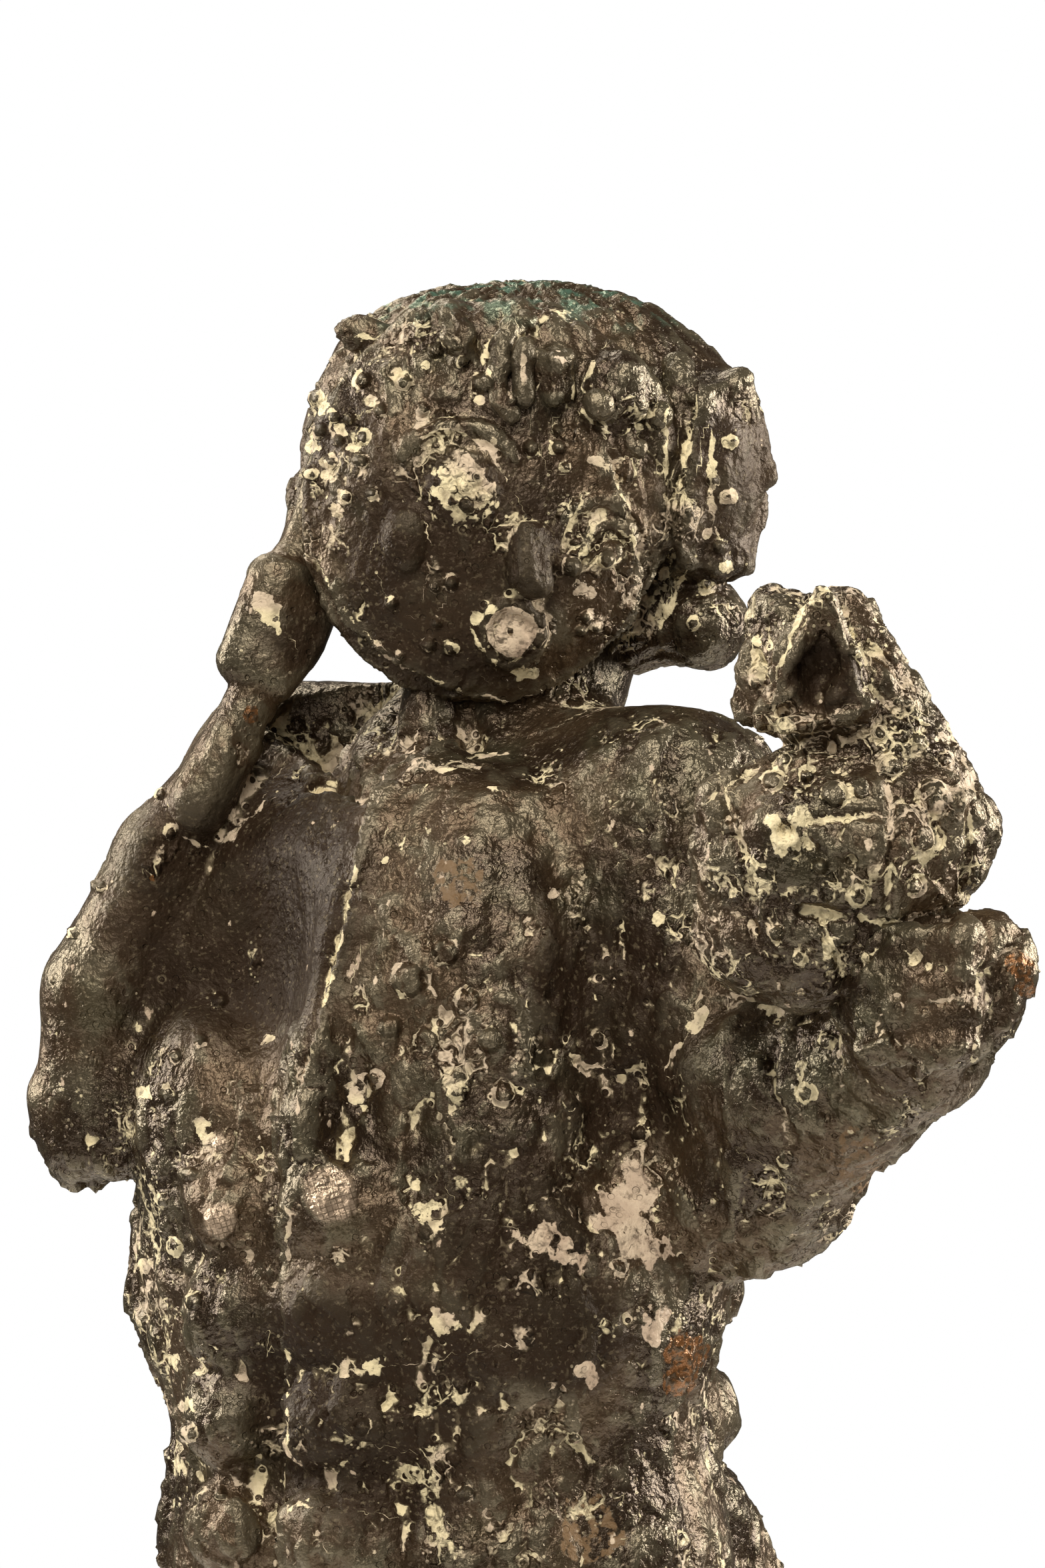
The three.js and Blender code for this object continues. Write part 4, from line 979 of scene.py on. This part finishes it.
def head_colours(p, normals):
    seen, facing = photo_place(p), normals[:, 1]
    marks = plain_colours(0.26)(p, normals)
    marks["deposit"] -= 0.06 * np.clip(3 * marked(seen, facing, [(720, 830, 220)]), 0, 1)
    # More crust was left round the eyes and the mouth.
    features = marked(seen, facing, [(905, 795, 75), (675, 690, 80), (768, 948, 75)])
    marks["deposit"] += 0.35 * np.clip(3 * features, 0, 1)
    # Painted shade on the lower face and on the hair at either side, made a little uneven by grain.
    sides = marked(seen, facing, [(490, 690, 110), (1110, 760, 150)])
    painted_shade = np.maximum(3 * marked(seen, facing, [(680, 860, 190)]), np.clip(2 * sides, 0, 0.7))
    marks["painted_shade"] = 0.8 * np.clip(painted_shade + 0.4 * grain(p / MM, 15, 44), 0, 1)
    disc, dot = marked(seen, facing, [(768, 948, 38)]), marked(seen, facing, [(766, 946, 5)])
    marks["patch"] = 5 * np.minimum(disc, -dot)
    marks["verdigris"] = 0.6 * np.clip((p[:, 2] - 978) / 16, 0, 1)
    return {**marks, **crust_marks(seen, facing, HEAD_PELLETS, HEAD_LINES, HEAD_FLECKS)}


HEAD_CELL, HEAD_TRIANGLES = 0.95 * MM, 195000
head = wax_mesh("faun_head", head_wax(), HEAD_CELL, head_relief, head_colours, HEAD_TRIANGLES)
head.data.materials.append(bronze_patina("bronze_patina_head"))
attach(head, "root")
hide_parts("faun_casting")

# Legs and tail: a goat's hind legs with a shaggy coat on the thighs and cloven hooves let into the base. The
# photograph stops at the hips, so they are finished in keeping and plainer.
HOOF_SINK = 3 * MM


def leg_wax(wax, side, step):
    def place(out, ahead, z):
        return np.array([4, 12, z]) + LEFT * side * out + FORWARD * (ahead + step)

    hip, knee = place(48, -step, 500), place(54, 34, 322)
    hock, fetlock = place(56, -34, 160), place(58, -14, 46)
    press(wax, 20, limb(hip, knee, 58, 37))
    press(wax, 18, egg(place(32, -38 - step, 458), (42, 42, 62)))
    press(wax, 10, limb(knee, hock, 35, 23))
    press(wax, 7, limb(hock, fetlock, 22, 18))
    press(wax, 6, egg(fetlock - (0, 0, 2), (20, 20, 15)))
    for half in (-1, 1):
        toe = 58 + 11 * half
        press(wax, 2, limb(place(toe, -12, 34), place(toe, 3, 14 - HOOF_SINK), 12, 14))
    # Locks of the coat lie in rows from the hip to below the knee, each row over the next.
    rows, around = 5, 7
    for row in reversed(range(rows)):
        down = row / (rows - 1)
        middle = hip + (knee - hip) * (0.2 + 0.85 * down)
        radius = 54 - 20 * down
        for i in range(around):
            angle = (i + (row % 2) / 2) / around * 2 * math.pi
            out = np.array([math.cos(angle), math.sin(angle), 0])
            root, tip = middle + out * (radius - 6) + (0, 0, 16), middle + out * (radius - 3) - (0, 0, 26)
            press(wax, 4, limb(root, tip, 13, 4))


def legs_wax():
    wax = []
    leg_wax(wax, 1, 22)
    leg_wax(wax, -1, -10)
    chain(wax, 5, [(54, 76, 574, 13), (76, 106, 566, 14), (86, 120, 540, 12), (88, 120, 508, 5)])
    return wax


def leg_relief(p, normals):
    coat = np.clip((p[:, 2] - 290) / 30, 0, 1)
    strands = np.sin(0.9 * (p[:, 0] + p[:, 1]) / MM + 5 * grain(p / MM, 14, 95))
    return skin_relief(p / MM, 0.35) * 0.7 + 0.5 * coat * strands


LEG_CELL, LEG_TRIANGLES = 1.7 * MM, 150000
legs = wax_mesh("goat_legs", legs_wax(), LEG_CELL, leg_relief, plain_colours(0.34), LEG_TRIANGLES)
legs.data.materials.append(bronze_patina("bronze_patina_legs"))
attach(legs, "root")
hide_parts("faun_casting")

# Low base: a slab with rounded corners and worn edges, cast with the hooves. It isn't in the photograph.
BASE_LENGTH, BASE_WIDTH, BASE_CORNER, BASE_BEVEL = 0.244, 0.216, 0.070, 0.004


def base_wax():
    half = np.array([BASE_LENGTH, BASE_WIDTH, BASE_THICKNESS]) / 2 / SHARE
    corner, bevel = BASE_CORNER / SHARE, BASE_BEVEL / SHARE
    middle = np.array([0, 0, -half[2]])

    def distance(points):
        q = np.abs(points - middle) - half
        flat = np.sqrt((np.maximum(q[..., :2] + corner, 0) ** 2).sum(-1)) - corner
        side = np.stack([flat, q[..., 2]], -1) + bevel
        return np.sqrt((np.maximum(side, 0) ** 2).sum(-1)) + np.minimum(side.max(-1), 0) - bevel

    return [((middle, float(np.linalg.norm(half)), distance), 1, False)]


def base_relief(p, normals):
    off_rest = np.clip((p[:, 2] + BASE_THICKNESS / SHARE) / (6 * MM) - 0.2, 0, 1)
    return skin_relief(p / MM, 1.0) * 0.35 * off_rest - 0.3 * off_rest


BASE_CELL, BASE_TRIANGLES = 2.0 * MM, 90000
base = wax_mesh("low_base", base_wax(), BASE_CELL, base_relief, plain_colours(0.3), BASE_TRIANGLES)
base.data.materials.append(bronze_patina("bronze_patina_base"))
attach(base, "root")
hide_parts("faun_casting")

# Floor, light and camera: a plain pale floor, five large soft lamps at the sides, above, in front and
# behind, and a camera level with the figure's shoulders, as far off as the photograph's perspective says.
floor_mesh = bpy.data.meshes.new("pale_floor")
FLOOR_RADIUS, FLOOR_SIDES = 0.8, 96
turns = [2 * math.pi * i / FLOOR_SIDES for i in range(FLOOR_SIDES)]
ring = [(FLOOR_RADIUS * math.cos(turn), FLOOR_RADIUS * math.sin(turn), 0) for turn in turns]
floor_mesh.from_pydata(ring, [], [range(FLOOR_SIDES)])
floor = bpy.data.objects.new("pale_floor", floor_mesh)
bpy.context.collection.objects.link(floor)
paper = Shader("pale_paper")
paper.put(paper.skin.inputs["Base Color"], (0.86, 0.86, 0.86, 1))
paper.skin.inputs["Roughness"].default_value = 0.9
floor_mesh.materials.append(paper.material)

world = bpy.data.worlds.new("studio")
world.use_nodes = True
air = world.node_tree
dim = air.nodes["Background"]
dim.inputs["Strength"].default_value = 0.1
white = air.nodes.new("ShaderNodeBackground")
white.inputs["Color"].default_value = dim.inputs["Color"].default_value = (1, 1, 1, 1)
rays = air.nodes.new("ShaderNodeLightPath")
either = air.nodes.new("ShaderNodeMixShader")
air.links.new(rays.outputs["Is Camera Ray"], either.inputs[0])
air.links.new(dim.outputs[0], either.inputs[1])
air.links.new(white.outputs[0], either.inputs[2])
air.links.new(either.outputs[0], air.nodes["World Output"].inputs["Surface"])
bpy.context.scene.world = world
bpy.context.scene.view_settings.view_transform = "Standard"

AIM, LAMP_SIZE = Vector((0.0, 0.0, 0.62)), 0.8
for name, stand, power in [
    ("left_lamp", (-1.35, 0.3, 1.05), 34),
    ("right_lamp", (1.35, 0.25, 0.95), 46),
    ("top_lamp", (-0.1, -1.0, 1.8), 30),
    ("front_lamp", (-0.3, -1.6, 1.0), 10),
    ("back_lamp", (-0.6, 0.9, 1.9), 16),
]:
    lamp = bpy.data.lights.new(name, "AREA")
    lamp.size, lamp.energy = LAMP_SIZE, power
    holder = bpy.data.objects.new(name, lamp)
    holder.location = stand
    holder.rotation_euler = (AIM - Vector(stand)).to_track_quat("-Z", "Y").to_euler()
    bpy.context.collection.objects.link(holder)

# At its distance the camera sees this width of the figure.
CAMERA_DISTANCE, CAMERA_ASIDE, CAMERA_HEIGHT, SEEN_WIDTH, SENSOR = 1.4, 0.0177, 0.640, 0.39984, 36
lens = bpy.data.cameras.new("camera")
lens.sensor_width = SENSOR
lens.lens = SENSOR * CAMERA_DISTANCE / SEEN_WIDTH
lens.clip_end = 30
camera = bpy.data.objects.new("camera", lens)
camera.location = (CAMERA_ASIDE, -CAMERA_DISTANCE, CAMERA_HEIGHT)
camera.rotation_euler = (math.radians(90), 0, 0)
bpy.context.collection.objects.link(camera)
bpy.context.scene.camera = camera
